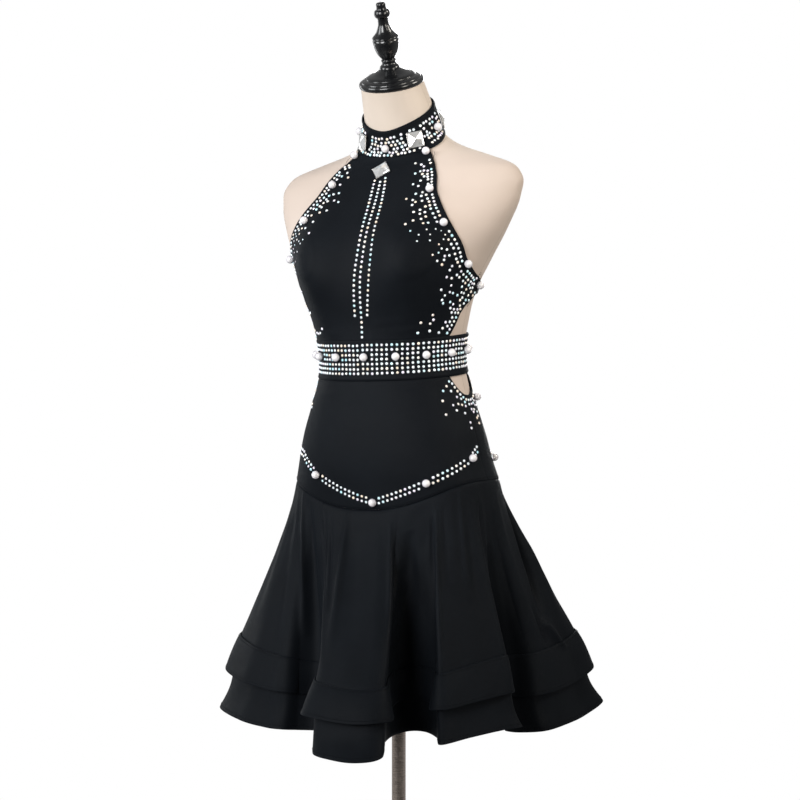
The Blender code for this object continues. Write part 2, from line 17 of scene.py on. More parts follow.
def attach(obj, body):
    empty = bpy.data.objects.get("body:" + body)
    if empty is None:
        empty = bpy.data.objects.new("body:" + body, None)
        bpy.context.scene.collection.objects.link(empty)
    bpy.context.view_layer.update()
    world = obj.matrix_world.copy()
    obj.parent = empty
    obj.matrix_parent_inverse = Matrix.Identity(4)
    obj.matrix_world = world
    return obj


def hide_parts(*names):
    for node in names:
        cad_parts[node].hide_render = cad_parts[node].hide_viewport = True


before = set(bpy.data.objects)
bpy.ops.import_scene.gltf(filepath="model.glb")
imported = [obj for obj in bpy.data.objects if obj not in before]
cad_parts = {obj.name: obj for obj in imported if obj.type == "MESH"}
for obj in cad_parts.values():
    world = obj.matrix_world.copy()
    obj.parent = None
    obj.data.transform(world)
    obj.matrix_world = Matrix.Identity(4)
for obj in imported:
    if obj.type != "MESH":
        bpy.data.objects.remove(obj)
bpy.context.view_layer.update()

# ==================================================================================================
# Camera: level with the waist, 30 degrees round to the wearer's left, with a long lens. The finial
# reaches the top of the view and the pole runs out at the bottom.
# ==================================================================================================
VIEW_AZIMUTH = math.radians(30.0)
VIEW_DISTANCE, VIEW_HEIGHT = 3.0, 1.0
VIEW_SIDESTEP = 0.0018                    # keeps the pole just left of the middle
VIEW_WIDTH = 800 / 675                    # metres across the view at the pole: pixels, and pixels a metre
SENSOR_WIDTH = 36.0                       # millimetres

towards_camera = Vector((math.sin(VIEW_AZIMUTH), -math.cos(VIEW_AZIMUTH), 0.0))
to_the_right = Vector((math.cos(VIEW_AZIMUTH), math.sin(VIEW_AZIMUTH), 0.0))
camera_data = bpy.data.cameras.new("camera")
camera_data.sensor_width = SENSOR_WIDTH
camera_data.lens = SENSOR_WIDTH * VIEW_DISTANCE / VIEW_WIDTH
camera = bpy.data.objects.new("camera", camera_data)
camera.location = towards_camera * VIEW_DISTANCE + to_the_right * VIEW_SIDESTEP
camera.location.z = VIEW_HEIGHT
camera.rotation_euler = (math.pi / 2, 0.0, VIEW_AZIMUTH)
bpy.context.scene.collection.objects.link(camera)
bpy.context.scene.camera = camera

# ==================================================================================================
# The form's torso: a moulded half body with no arms, under a tight cream stretch cover. Everything
# that the dress does follows its rings, so their table and the points worked out from it come first.
# ==================================================================================================
Ring = namedtuple("Ring", "level half_width front back centre_y tilt squareness lean", defaults=(0.0,))
RINGS = (
    Ring(0.800, 0.150, 0.085, 0.110, 0.000, 0.000, 2.30),
    Ring(0.850, 0.153, 0.092, 0.116, -0.004, 0.000, 2.35),
    Ring(0.900, 0.1455, 0.093, 0.116, -0.014, 0.030, 2.35),
    Ring(0.950, 0.1355, 0.091, 0.106, -0.018, 0.060, 2.30),
    Ring(1.000, 0.121, 0.088, 0.092, -0.018, 0.090, 2.20),
    Ring(1.040, 0.1115, 0.086, 0.084, -0.017, 0.115, 2.10),
    Ring(1.070, 0.110, 0.086, 0.083, -0.018, 0.115, 2.10),
    Ring(1.110, 0.116, 0.088, 0.085, -0.018, 0.100, 2.15),
    Ring(1.160, 0.130, 0.092, 0.088, -0.018, 0.080, 2.20),
    Ring(1.200, 0.150, 0.094, 0.095, -0.014, 0.070, 2.20),
    Ring(1.250, 0.179, 0.090, 0.095, -0.009, 0.060, 2.10),
    Ring(1.295, 0.197, 0.070, 0.085, -0.001, 0.050, 2.10),
    Ring(1.325, 0.197, 0.056, 0.074, 0.005, 0.070, 2.10),
    Ring(1.342, 0.180, 0.050, 0.064, 0.009, 0.110, 2.00),
    Ring(1.356, 0.140, 0.046, 0.058, 0.013, 0.190, 2.00),
    Ring(1.371, 0.092, 0.045, 0.054, 0.015, 0.280, 2.00),
    Ring(1.388, 0.063, 0.046, 0.052, 0.013, 0.340, 2.00),
    Ring(1.410, 0.055, 0.047, 0.050, 0.006, 0.360, 2.00),
    Ring(1.437, 0.0510, 0.0455, 0.0475, -0.006, 0.385, 2.00, -0.030),
    Ring(1.465, 0.0465, 0.0430, 0.0450, -0.020, 0.447, 2.00, -0.087),
)
BUST_X, BUST_LEVEL, BUST_HEIGHT = 0.080, 1.198, 0.034
BUST_WIDTH, BUST_BELOW, BUST_ABOVE = 0.040, 0.046, 0.0575
TORSO_RIM, RIM_TURNED_IN = 0.022, 0.14    # the rounded bottom edge: its height, and its share turned in
COVER_ROUND = 0.80                        # metres of cover all round the body
COVER_SEAM = 0.1925                       # from the middle of the back to each side seam of the cover


def bend(t, start, leave, end, arrive):
    """A curve from start to end as t goes from 0 to 1, with the slopes leave and arrive there."""
    rise, fall = 3 * t**2 - 2 * t**3, 2 * t**3 - 3 * t**2 + 1
    return fall * start + (t**3 - 2 * t**2 + t) * leave + rise * end + (t**3 - t**2) * arrive


def through(xs, ys, x):
    """A smooth curve through the points (xs, ys), read at x."""
    xs, ys = np.asarray(xs, float), np.asarray(ys, float)
    slopes = np.gradient(ys, xs)
    x = np.clip(x, xs[0], xs[-1])
    i = np.clip(np.searchsorted(xs, x) - 1, 0, len(xs) - 2)
    span = xs[i + 1] - xs[i]
    return bend((x - xs[i]) / span, ys[i], span * slopes[i], ys[i + 1], span * slopes[i + 1])


def ring_value(column, level):
    """One column of the rings' table, read at a level."""
    return through([ring.level for ring in RINGS], [getattr(ring, column) for ring in RINGS], level)


def skin(angle, level):
    """Points of the form's skin at these angles and levels."""
    angle, level = np.broadcast_arrays(np.asarray(angle, float), np.asarray(level, float))
    power = 2.0 / ring_value("squareness", level)
    side, ahead = np.sin(np.radians(angle)), np.cos(np.radians(angle))
    depth = np.where(ahead > 0, ring_value("front", level), ring_value("back", level))
    x = ring_value("half_width", level) * np.sign(side) * np.abs(side) ** power
    y = -depth * np.sign(ahead) * np.abs(ahead) ** power
    rise = np.where(level > BUST_LEVEL, BUST_ABOVE, BUST_BELOW)
    for bust_x in (-BUST_X, BUST_X):
        spread = ((x - bust_x) / BUST_WIDTH) ** 2 + ((level - BUST_LEVEL) / rise) ** 2
        y = y - BUST_HEIGHT * np.exp(-spread / 2) * np.sqrt(np.clip(ahead, 0.0, 1.0))
    height = level + ring_value("tilt", level) * y + ring_value("lean", level) * x
    return np.stack([x, ring_value("centre_y", level) + y, height], -1)


def link_mesh(name, points, faces, material, uv=None, flat=False):
    """A mesh object from arrays; uv has one row for each point: its metres of cloth, or its tint."""
    mesh = bpy.data.meshes.new(name)
    mesh.from_pydata(np.asarray(points).reshape(-1, 3).tolist(), [], faces)
    if uv is not None:
        corners = np.empty(len(mesh.loops), int)
        mesh.loops.foreach_get("vertex_index", corners)
        layer = mesh.uv_layers.new(name="cloth")
        layer.data.foreach_set("uv", np.asarray(uv, float).reshape(-1, 2)[corners].ravel())
    mesh.materials.append(material)
    if not flat:
        mesh.shade_smooth()
    made = bpy.data.objects.new(name, mesh)
    bpy.context.scene.collection.objects.link(made)
    return made


def grid_faces(rows, columns, first=0, wrap=False, flip=False):
    """Quads over a grid of points whose columns run round the body and whose rows run up it."""
    across = np.arange(columns if wrap else columns - 1)
    row, column = np.meshgrid(np.arange(rows - 1) * columns, across, indexing="ij")
    after = (column + 1) % columns
    quads = np.stack([row + column, row + after, row + columns + after, row + columns + column], -1)
    quads = quads.reshape(-1, 4) + first
    return (quads[:, ::-1] if flip else quads).tolist()


def fit(piece, slot, node=None, **sheet):
    """Fixes a piece to the body, in place of a node if one is given.
    Its slot and its cut as a sheet are not used.
    """
    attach(piece, "root")
    if node:
        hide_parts(node)


def new_material(name, colour, roughness, metallic=0.0, **sockets):
    """A Principled material; sockets are further values that are the same all over it."""
    material = bpy.data.materials.new(name)
    material.use_nodes = True
    shader = material.node_tree.nodes["Principled BSDF"]
    shader.inputs["Base Color"].default_value = (*colour, 1.0)
    shader.inputs["Roughness"].default_value = roughness
    shader.inputs["Metallic"].default_value = metallic
    for socket, value in sockets.items():
        shader.inputs[socket.replace("_", " ")].default_value = value
    return material


def add_node(tree, kind, values=None, **settings):
    """A node with its settings, and its inputs by name or number: a value, or the socket that feeds it."""
    made = tree.nodes.new(kind)
    for setting, value in settings.items():
        setattr(made, setting, value)
    for socket, value in (values or {}).items():
        if isinstance(value, bpy.types.NodeSocket):
            tree.links.new(value, made.inputs[socket])
        else:
            made.inputs[socket].default_value = value
    return made


def maths(tree, operation, *values):
    return add_node(tree, "ShaderNodeMath", dict(enumerate(values)), operation=operation).outputs[0]


def feed(material, socket, value):
    tree = material.node_tree
    tree.links.new(value, tree.nodes["Principled BSDF"].inputs[socket])


def ramp(tree, factor, *stops):
    """A colour ramp with stops of (place, colour)."""
    made = add_node(tree, "ShaderNodeValToRGB", {"Fac": factor})
    elements = made.color_ramp.elements
    while len(elements) < len(stops):
        elements.new(0.5)
    for element, (place, colour) in zip(elements, stops):
        element.position = place
        element.color = (*colour, 1.0)
    return made.outputs["Color"]


def mapped(tree, value, low, high, **ends):
    """A value spread smoothly between low and high; it runs from 0 to 1 unless ends say otherwise."""
    sockets = {"Value": value, "To Min": low, "To Max": high}
    sockets.update({end.replace("_", " "): at for end, at in ends.items()})
    return add_node(tree, "ShaderNodeMapRange", sockets, interpolation_type="SMOOTHSTEP").outputs["Result"]


def mixed(tree, factor, first, second, blend="MIX"):
    sockets = {0: factor, 6: first, 7: second}
    return add_node(tree, "ShaderNodeMix", sockets, data_type="RGBA", blend_type=blend).outputs[2]


def new_group(name, inputs, outputs):
    group = bpy.data.node_groups.new(name, "ShaderNodeTree")
    for names, way in ((inputs, "INPUT"), (outputs, "OUTPUT")):
        for socket in names:
            group.interface.new_socket(socket, in_out=way, socket_type="NodeSocketFloat")
    return group, group.nodes.new("NodeGroupInput").outputs, group.nodes.new("NodeGroupOutput").inputs


def place_group(tree, group, **values):
    """A group placed in a material's tree with its own values."""
    sockets = {socket.replace("_", " "): value for socket, value in values.items()}
    return add_node(tree, "ShaderNodeGroup", sockets, node_tree=group).outputs


def patchy_group():
    """Node group: broad soft patches and fine specks, for dye, dust and handling."""
    group, inputs, outputs = new_group("patchy", ("Patch size", "Speck size"), ("Patches", "Specks"))
    place = add_node(group, "ShaderNodeTexCoord").outputs["Object"]
    for size, target, detail in (("Patch size", "Patches", 3.0), ("Speck size", "Specks", 1.0)):
        scale = maths(group, "DIVIDE", 1.0, inputs[size])
        noise = add_node(group, "ShaderNodeTexNoise", {"Vector": place, "Scale": scale, "Detail": detail})
        group.links.new(noise.outputs["Fac"], outputs[target])
    return group


def knit_group():
    """Node group: the wales and loops of a knitted jersey, over a UV map that is in metres of cloth."""
    group, inputs, outputs = new_group("knit", ("Wale width",), ("Height",))
    uv = add_node(group, "ShaderNodeUVMap", uv_map="cloth").outputs["UV"]
    split = add_node(group, "ShaderNodeSeparateXYZ", {0: uv}).outputs
    across = maths(group, "DIVIDE", split[0], inputs["Wale width"])
    up = maths(group, "DIVIDE", split[1], inputs["Wale width"])
    from_middle = maths(group, "ABSOLUTE", maths(group, "SUBTRACT", maths(group, "FRACT", across), 0.5))
    # Each wale is highest in its middle, and its loops' legs lean the two ways from there.
    wale = maths(group, "SUBTRACT", 1.0, maths(group, "MULTIPLY", from_middle, 1.8))
    lean = maths(group, "MULTIPLY_ADD", from_middle, 1.1, up)
    leg = maths(group, "SINE", maths(group, "MULTIPLY", lean, math.tau))
    loops = maths(group, "MULTIPLY", wale, maths(group, "MULTIPLY_ADD", leg, 0.25, 0.75))
    group.links.new(loops, outputs["Height"])
    return group


PATCHY, KNIT = patchy_group(), knit_group()


def bump_from(material, height, distance, strength):
    sockets = {"Height": height, "Distance": distance, "Strength": strength}
    feed(material, "Normal", add_node(material.node_tree, "ShaderNodeBump", sockets).outputs["Normal"])


def cover_material():
    """Cream stretch cover, a little pinker below the neck, with a fine knit and dark side seams."""
    made = new_material("form cover", (0.73, 0.62, 0.53), 0.78, Sheen_Weight=0.15, Sheen_Roughness=0.45)
    tree = made.node_tree
    patches = place_group(tree, PATCHY, Patch_size=0.16, Speck_size=0.004)["Patches"]
    place = add_node(tree, "ShaderNodeTexCoord").outputs["Object"]
    height = add_node(tree, "ShaderNodeSeparateXYZ", {0: place}).outputs[2]
    pinker = mapped(tree, height, 0.0, 1.0, From_Min=1.405, From_Max=1.345)
    warm = ramp(tree, patches, (0.35, (0.72, 0.61, 0.515)), (0.65, (0.765, 0.655, 0.56)))
    pink = ramp(tree, patches, (0.35, (0.66, 0.545, 0.468)), (0.65, (0.71, 0.59, 0.513)))
    # The side seams: a dark line to the left and to the right, both as far from the middle of the back.
    on_cover = add_node(tree, "ShaderNodeUVMap", uv_map="cloth").outputs["UV"]
    across = add_node(tree, "ShaderNodeSeparateXYZ", {0: on_cover}).outputs[0]
    aside = maths(tree, "ABSOLUTE", maths(tree, "SUBTRACT", across, COVER_ROUND / 2))
    seam = maths(tree, "COMPARE", aside, COVER_SEAM, 0.0006)
    cream = mixed(tree, pinker, warm, pink)
    feed(made, "Base Color", mixed(tree, seam, cream, (0.50, 0.40, 0.32, 1.0)))
    bump_from(made, place_group(tree, KNIT, Wale_width=0.0007)["Height"], 0.00012, 0.6)
    return made


def torso():
    """Rows of skin from the bottom edge to the neck's top, closed above and below."""
    columns = 224
    angle = np.arange(columns) * 360.0 / columns
    rim = np.linspace(-1.0, 0.0, 10)[:-1]
    levels = np.concatenate([
        np.full(len(rim), RINGS[0].level), np.linspace(RINGS[0].level, RINGS[-1].level, 190)
    ])
    grid_angle, grid_level = np.meshgrid(angle, levels)
    points = skin(grid_angle, grid_level)
    # The bottom edge turns in over a quarter round.
    for row, turn in enumerate(rim):
        points[row, :, :2] *= 1.0 - RIM_TURNED_IN * (1.0 - math.cos(turn * math.pi / 2))
        points[row, :, 2] += TORSO_RIM * math.sin(turn * math.pi / 2)
    count = points.shape[0] * columns
    faces = grid_faces(points.shape[0], columns, wrap=True)
    faces.append(list(range(columns))[::-1])
    faces.append(list(range(count - columns, count)))
    uv = np.stack([grid_angle / 360.0 * COVER_ROUND, grid_level], -1)
    made = link_mesh("torso_cover", points, faces, cover_material(), uv)
    made.data.set_sharp_from_angle(angle=math.radians(50.0))
    fit(made, "form_cover", "form_torso")


torso()

# ==================================================================================================
# Neck cap and finial: turned wood in black gloss lacquer. The cap is screwed down on the neck's
# slanting top and the finial is dowelled into it, so both lean forward with the neck.
# ==================================================================================================
Turn = namedtuple("Turn", "radius height sharp")
CAP_PROFILE = (
    Turn(0.0000, 0.0240, True), Turn(0.0150, 0.0240, True), Turn(0.0186, 0.0218, False),
    Turn(0.0250, 0.0185, False), Turn(0.0330, 0.0158, False), Turn(0.0362, 0.0136, True),
    Turn(0.0368, 0.0122, False), Turn(0.0400, 0.0115, True), Turn(0.0432, 0.0098, False),
    Turn(0.0440, 0.0082, True), Turn(0.0470, 0.0074, False), Turn(0.0482, 0.0050, False),
    Turn(0.0478, 0.0018, False), Turn(0.0465, 0.0003, True), Turn(0.0000, 0.0003, True),
)
FINIAL_PROFILE = (
    Turn(0.0000, 0.1226, True), Turn(0.0048, 0.1222, False), Turn(0.0070, 0.1201, False),
    Turn(0.0071, 0.1150, False), Turn(0.0077, 0.1122, True), Turn(0.0106, 0.1103, False),
    Turn(0.0118, 0.1060, False), Turn(0.0107, 0.1018, False), Turn(0.0081, 0.0996, True),
    Turn(0.0077, 0.0955, False), Turn(0.0081, 0.0900, False), Turn(0.0097, 0.0855, False),
    Turn(0.0119, 0.0805, False), Turn(0.0153, 0.0760, False), Turn(0.0181, 0.0732, True),
    Turn(0.0196, 0.0711, False), Turn(0.0187, 0.0687, True), Turn(0.0196, 0.0663, False),
    Turn(0.0189, 0.0640, True), Turn(0.0187, 0.0605, False), Turn(0.0175, 0.0540, False),
    Turn(0.0148, 0.0470, False), Turn(0.0108, 0.0410, False), Turn(0.0094, 0.0390, True),
    Turn(0.0111, 0.0369, False), Turn(0.0100, 0.0346, True), Turn(0.0106, 0.0318, False),
    Turn(0.0142, 0.0277, False), Turn(0.0150, 0.0243, True), Turn(0.0000, 0.0243, True),
)


def smooth_profile(profile, steps=6):
    """The profile with round stretches between its sharp corners, as (radius, height) rows."""
    rows = [(profile[0].radius, profile[0].height)]
    for i in range(len(profile) - 1):
        start, end = (np.array((turn.radius, turn.height)) for turn in profile[i:i + 2])
        before = end if i == 0 else np.array((profile[i - 1].radius, profile[i - 1].height))
        after = start if i + 2 >= len(profile) else np.array((profile[i + 2].radius, profile[i + 2].height))
        leave = (end - start) if profile[i].sharp else (end - before) / 2
        arrive = (end - start) if profile[i + 1].sharp else (after - start) / 2
        rows += [bend(t, start, leave, end, arrive) for t in np.arange(1, steps + 1) / steps]
    rows = np.array(rows)
    rows[:, 0] = np.maximum(rows[:, 0], 0.0)
    return rows


def spun(rows, columns):
    """Points of (radius, height) rows turned round Z."""
    turn = np.arange(columns) * math.tau / columns
    x, y = rows[:, :1] * np.sin(turn), rows[:, :1] * -np.cos(turn)
    return np.stack([x, y, np.repeat(rows[:, 1:], columns, 1)], -1)


def turned(name, profile, material, columns=72):
    """A profile spun round Z, closed where it starts and ends on the axis."""
    rows = smooth_profile(profile)[::-1]
    made = link_mesh(name, spun(rows, columns), grid_faces(len(rows), columns, wrap=True), material)
    made.data.validate()
    made.data.set_sharp_from_angle(angle=math.radians(40.0))
    return made


def lacquer_material():
    """Black gloss lacquer over turned wood: a slight orange peel and a trace of dust."""
    made = new_material(
        "black lacquer", (0.006, 0.006, 0.007), 0.30,
        Coat_Weight=0.7, Coat_Roughness=0.06, Specular_IOR_Level=0.3
    )
    tree = made.node_tree
    patchy = place_group(tree, PATCHY, Patch_size=0.012, Speck_size=0.0012)
    feed(made, "Roughness", mapped(tree, patchy["Patches"], 0.25, 0.36))
    feed(made, "Base Color", ramp(
        tree, patchy["Specks"], (0.45, (0.0045, 0.0050, 0.0060)), (0.80, (0.010, 0.010, 0.011))
    ))
    bump_from(made, patchy["Patches"], 0.00002, 0.3)
    return made


lacquer = lacquer_material()
neck_top = RINGS[-1]
on_the_neck = (
    Matrix.Translation((0.0, neck_top.centre_y, neck_top.level))
    @ Vector((-neck_top.lean, -neck_top.tilt, 1.0)).to_track_quat("Z", "Y").to_matrix().to_4x4()
)
for piece_name, profile, node in (
    ("turned_cap", CAP_PROFILE, "neck_cap"), ("turned_finial", FINIAL_PROFILE, "finial")
):
    piece = turned(piece_name, profile, lacquer)
    piece.data.transform(on_the_neck)
    fit(piece, "lacquer", node)

# ==================================================================================================
# Pole, socket and base: a bright steel tube screwed into a round weighted steel plate. The pole is
# the frame's own; the plate and its socket are turned again with finer edges.
# ==================================================================================================
BASE_RADIUS = 0.1600
BASE_PROFILE = (
    Turn(0.0000, 0.0162, True), Turn(0.0200, 0.0162, True), Turn(0.1300, 0.0105, False),
    Turn(BASE_RADIUS - 0.004, 0.0080, True), Turn(BASE_RADIUS - 0.001, 0.0068, False),
    Turn(BASE_RADIUS, 0.0045, True), Turn(BASE_RADIUS, 0.0000, True), Turn(0.0000, 0.0000, True),
)
SOCKET_PROFILE = (
    Turn(0.0106, 0.0168, True), Turn(0.0106, 0.0600, True), Turn(0.0150, 0.0600, True),
    Turn(0.0162, 0.0594, False), Turn(0.0165, 0.0580, True), Turn(0.0165, 0.0300, False),
    Turn(0.0190, 0.0252, False), Turn(0.0240, 0.0226, False), Turn(0.0280, 0.0195, True),
    Turn(0.0280, 0.0168, True), Turn(0.0106, 0.0168, True),
)


def steel_material():
    """Steel polished round and round: fine scratches round the tube and plate, and duller patches."""
    made = new_material("polished steel", (0.60, 0.51, 0.45), 0.24, 1.0)
    tree = made.node_tree
    place = add_node(tree, "ShaderNodeTexCoord").outputs["Object"]
    squashed = add_node(tree, "ShaderNodeMapping", {"Vector": place, "Scale": (30.0, 30.0, 2600.0)})
    fine = {"Vector": squashed.outputs["Vector"], "Scale": 1.0, "Detail": 4.0}
    lines = add_node(tree, "ShaderNodeTexNoise", fine).outputs["Fac"]
    patchy = place_group(tree, PATCHY, Patch_size=0.05, Speck_size=0.002)
    both = maths(tree, "ADD", lines, patchy["Patches"])
    feed(made, "Roughness", mapped(tree, both, 0.16, 0.36, From_Min=0.6, From_Max=1.4))
    feed(made, "Base Color", ramp(
        tree, patchy["Specks"], (0.3, (0.52, 0.44, 0.385)), (0.7, (0.68, 0.58, 0.515))
    ))
    bump_from(made, lines, 0.00004, 0.5)
    return made


steel = steel_material()
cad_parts["pole"].data.materials.clear()
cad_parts["pole"].data.materials.append(steel)
for piece_name, profile, node in (
    ("base_plate", BASE_PROFILE, "base"), ("socket", SOCKET_PROFILE, "pole_socket")
):
    fit(turned(piece_name, profile, steel, columns=120), "steel", node)

# ==================================================================================================
# Bodice: the halter front, one piece of stretch jersey from the belt to the collar. Its armholes and
# lower side edges are turned in and stitched, and round pads under it fill out the bust.
# ==================================================================================================
CLOTH_GAP = 0.0020                        # form's skin to the inside of the cloth
CLOTH, BAND = 0.0013, 0.0020              # the frame's jersey, and its doubled belt and collar
PLY = 0.0003                              # how much thinner than those the flat of the cloth is
TURNED_EDGE, EDGE_RISE, EDGE_STEP = 0.0065, 0.00035, 0.0016  # its width, its height and its step down
CLOTH_ROUND, BAND_ROUND = 0.0009, 0.0012  # how far in from their edges both round over
THIN_EDGE = 0.35                          # how much of a wall's thickness is left at its very edge
CLOTH_DEGREE = 0.0019                     # metres of cloth in a degree round the bodice
BELT_BOTTOM, BELT_TOP = 1.0362, 1.0955
STRAP_BOTTOM, STRAP_TOP, STRAP_START = 1.1525, 1.1712, 100.0
COLLAR_LOW, COLLAR_WIDTH = 1.3660, 0.0450
COLLAR_RISE, COLLAR_ROUND, COLLAR_LEAN = 0.0330, 0.14, 0.0015

Edge = namedtuple("Edge", "level angle")
SIDE_EDGE = (
    Edge(BELT_TOP, 73.5), Edge(1.1100, 78.7), Edge(1.1310, 85.0), Edge(1.1446, 92.6),
    Edge(STRAP_BOTTOM, STRAP_START),
)
ARMHOLE_EDGE = (
    Edge(STRAP_TOP, STRAP_START), Edge(1.1785, 92.0), Edge(1.1880, 82.0), Edge(1.2026, 70.5),
    Edge(1.2236, 59.8), Edge(1.2443, 49.7), Edge(1.2650, 40.9), Edge(1.2868, 33.2), Edge(1.3099, 27.8),
    Edge(1.3270, 26.6), Edge(1.3440, 27.9), Edge(1.3590, 34.5), Edge(1.3700, 47.0),
)
BODICE_BEND_FROM = 1.3000                 # above this its rows bend with the collar's lower edge
PAD_ANGLE, PAD_LEVEL, PAD_RADIUS, PAD_LIFT = 36.0, 1.217, 0.037, 0.0013
PAD_DEGREE, PAD_SOFTNESS = 0.0026, 0.0018  # metres in a degree over the bust, and the pad's soft edge

# Soft creases: where each starts and ends, its width at the start, how far it lifts the cloth (or sinks
# it, in a trough) and its width at the end where that differs.
Crease = namedtuple("Crease", "angle level to_angle to_level width lift to_width", defaults=(None,))
BODICE_CREASES = (
    Crease(52.0, 1.176, 84.0, 1.158, 0.0050, 0.0007), Crease(48.0, 1.164, 80.0, 1.140, 0.0060, 0.0006),
    Crease(-50.0, 1.178, -82.0, 1.162, 0.0055, 0.0007), Crease(-46.0, 1.160, -78.0, 1.134, 0.0060, 0.0006),
    Crease(20.0, 1.106, 62.0, 1.112, 0.0035, 0.0006), Crease(-12.0, 1.104, -58.0, 1.108, 0.0040, 0.0006),
    Crease(8.0, 1.118, 40.0, 1.124, 0.0045, 0.0004), Crease(-22.0, 1.119, -50.0, 1.122, 0.0040, 0.0004),
    Crease(30.0, 1.160, 47.0, 1.117, 0.0050, 0.0008), Crease(5.0, 1.130, 6.5, 1.098, 0.0022, -0.0016),
    Crease(-14.0, 1.352, -24.0, 1.322, 0.0040, 0.0004), Crease(14.0, 1.352, 23.0, 1.324, 0.0040, 0.0004),
)


def unit(vectors):
    return vectors / np.maximum(np.linalg.norm(vectors, axis=-1, keepdims=True), 1e-12)


def skin_frame(angle, level):
    """At each place: the way round the body, the way up it and the way out of it."""
    round_it = skin(np.asarray(angle) + 0.2, level) - skin(np.asarray(angle) - 0.2, level)
    up_it = skin(angle, np.asarray(level) + 0.0008) - skin(angle, np.asarray(level) - 0.0008)
    out = unit(np.cross(round_it, up_it))
    along = unit(round_it)
    return along, np.cross(out, along), out


def over_skin(angle, level, out):
    return skin(angle, level) + skin_frame(angle, level)[2] * np.asarray(out)[..., None]


def collar_bottom(angle):
    """The level of the collar's lower edge, which rises towards the back."""
    half = np.sin(np.radians(angle) / 2)
    rise = COLLAR_RISE * (np.hypot(half, COLLAR_ROUND) - COLLAR_ROUND)
    return COLLAR_LOW + rise - COLLAR_LEAN * np.sin(np.radians(angle))


def bodice_edge(level):
    """The angle of the bodice's edge at a level."""
    below, above = (through(*zip(*edges), level) for edges in (SIDE_EDGE, ARMHOLE_EDGE))
    return np.where(level < STRAP_BOTTOM, below, np.where(level > STRAP_TOP, above, STRAP_START))


def metres_round(angle, level):
    """How many metres the skin runs for each degree round the body."""
    ahead, behind = skin(np.asarray(angle) + 0.5, level), skin(np.asarray(angle) - 0.5, level)
    return np.linalg.norm(ahead - behind, axis=-1)


def creased(creases, angle, level, degree=CLOTH_DEGREE, down=1.0):
    """How far creases move the cloth out at each place; degree and down are metres of cloth in one
    degree and in one unit of level."""
    total = np.zeros(np.broadcast(angle, level).shape)
    for crease in creases:
        start = np.array((crease.angle * degree, crease.level * down))
        run = np.array((crease.to_angle * degree, crease.to_level * down)) - start
        length = np.linalg.norm(run)
        across, up = np.asarray(angle) * degree - start[0], np.asarray(level) * down - start[1]
        along = (across * run[0] + up * run[1]) / length
        aside = (across * run[1] - up * run[0]) / length
        share = np.clip(along / length, 0.0, 1.0)
        width = crease.width + ((crease.to_width or crease.width) - crease.width) * share
        beyond = np.abs(along - share * length) / width
        total += crease.lift * np.sin(np.pi * share) ** 0.7 * np.exp(-(aside / width) ** 2 - beyond**2)
    return total


def ripple(across, up, size, seed):
    """Gentle unevenness between -1 and 1, from a few slanting waves."""
    dice = random.Random(seed)
    total = 0.0
    for _ in range(5):
        slant, phase = dice.uniform(0.0, math.pi), dice.uniform(0.0, math.tau)
        stretch = dice.uniform(0.7, 1.6) * math.tau / size
        total = total + np.sin((across * math.cos(slant) + up * math.sin(slant)) * stretch + phase)
    return total / 5.0


def turned_edge(from_edge):
    """How much a turned and stitched edge adds to the cloth's thickness."""
    return EDGE_RISE * (1.0 - np.clip((from_edge - TURNED_EDGE) / EDGE_STEP + 0.5, 0.0, 1.0))


def rounded(from_edge, radius):
    """Rises from THIN_EDGE at an edge to 1 a little way in, so that a cloth edge is round."""
    share = np.clip(from_edge / radius, 0.0, 1.0)
    return THIN_EDGE + (1.0 - THIN_EDGE) * np.sqrt(1.0 - (1.0 - share) ** 2)


def cloth_shell(name, outside, inside, uv, wrap=False):
    """A jersey wall between two grids of points, closed round its edges."""
    rows, columns = outside.shape[:2]
    count = rows * columns
    faces = grid_faces(rows, columns, wrap=wrap)
    faces += grid_faces(rows, columns, first=count, wrap=wrap, flip=True)
    around = np.arange(columns if wrap else columns - 1)
    after = (around + 1) % columns
    top, top_after = (rows - 1) * columns + around, (rows - 1) * columns + after
    faces += np.stack([after, around, around + count, after + count], -1).tolist()
    faces += np.stack([top, top_after, top_after + count, top + count], -1).tolist()
    if not wrap:
        up = np.arange(rows - 1) * columns
        last = up + columns - 1
        faces += np.stack([up, up + columns, up + columns + count, up + count], -1).tolist()
        faces += np.stack([last + columns, last, last + count, last + columns + count], -1).tolist()
    points = np.concatenate([outside.reshape(-1, 3), inside.reshape(-1, 3)])
    made = link_mesh(name, points, faces, jersey, np.concatenate([uv.reshape(-1, 2)] * 2))
    made.data.set_sharp_from_angle(angle=math.radians(70.0))
    return made


def body_shell(name, angle, level, inside, thick, degree, wrap=False):
    """A jersey wall over the form, as far off its skin as inside says."""
    uv = np.stack([angle * degree, level], -1)
    outside = over_skin(angle, level, inside + thick)
    return cloth_shell(name, outside, over_skin(angle, level, inside), uv, wrap)


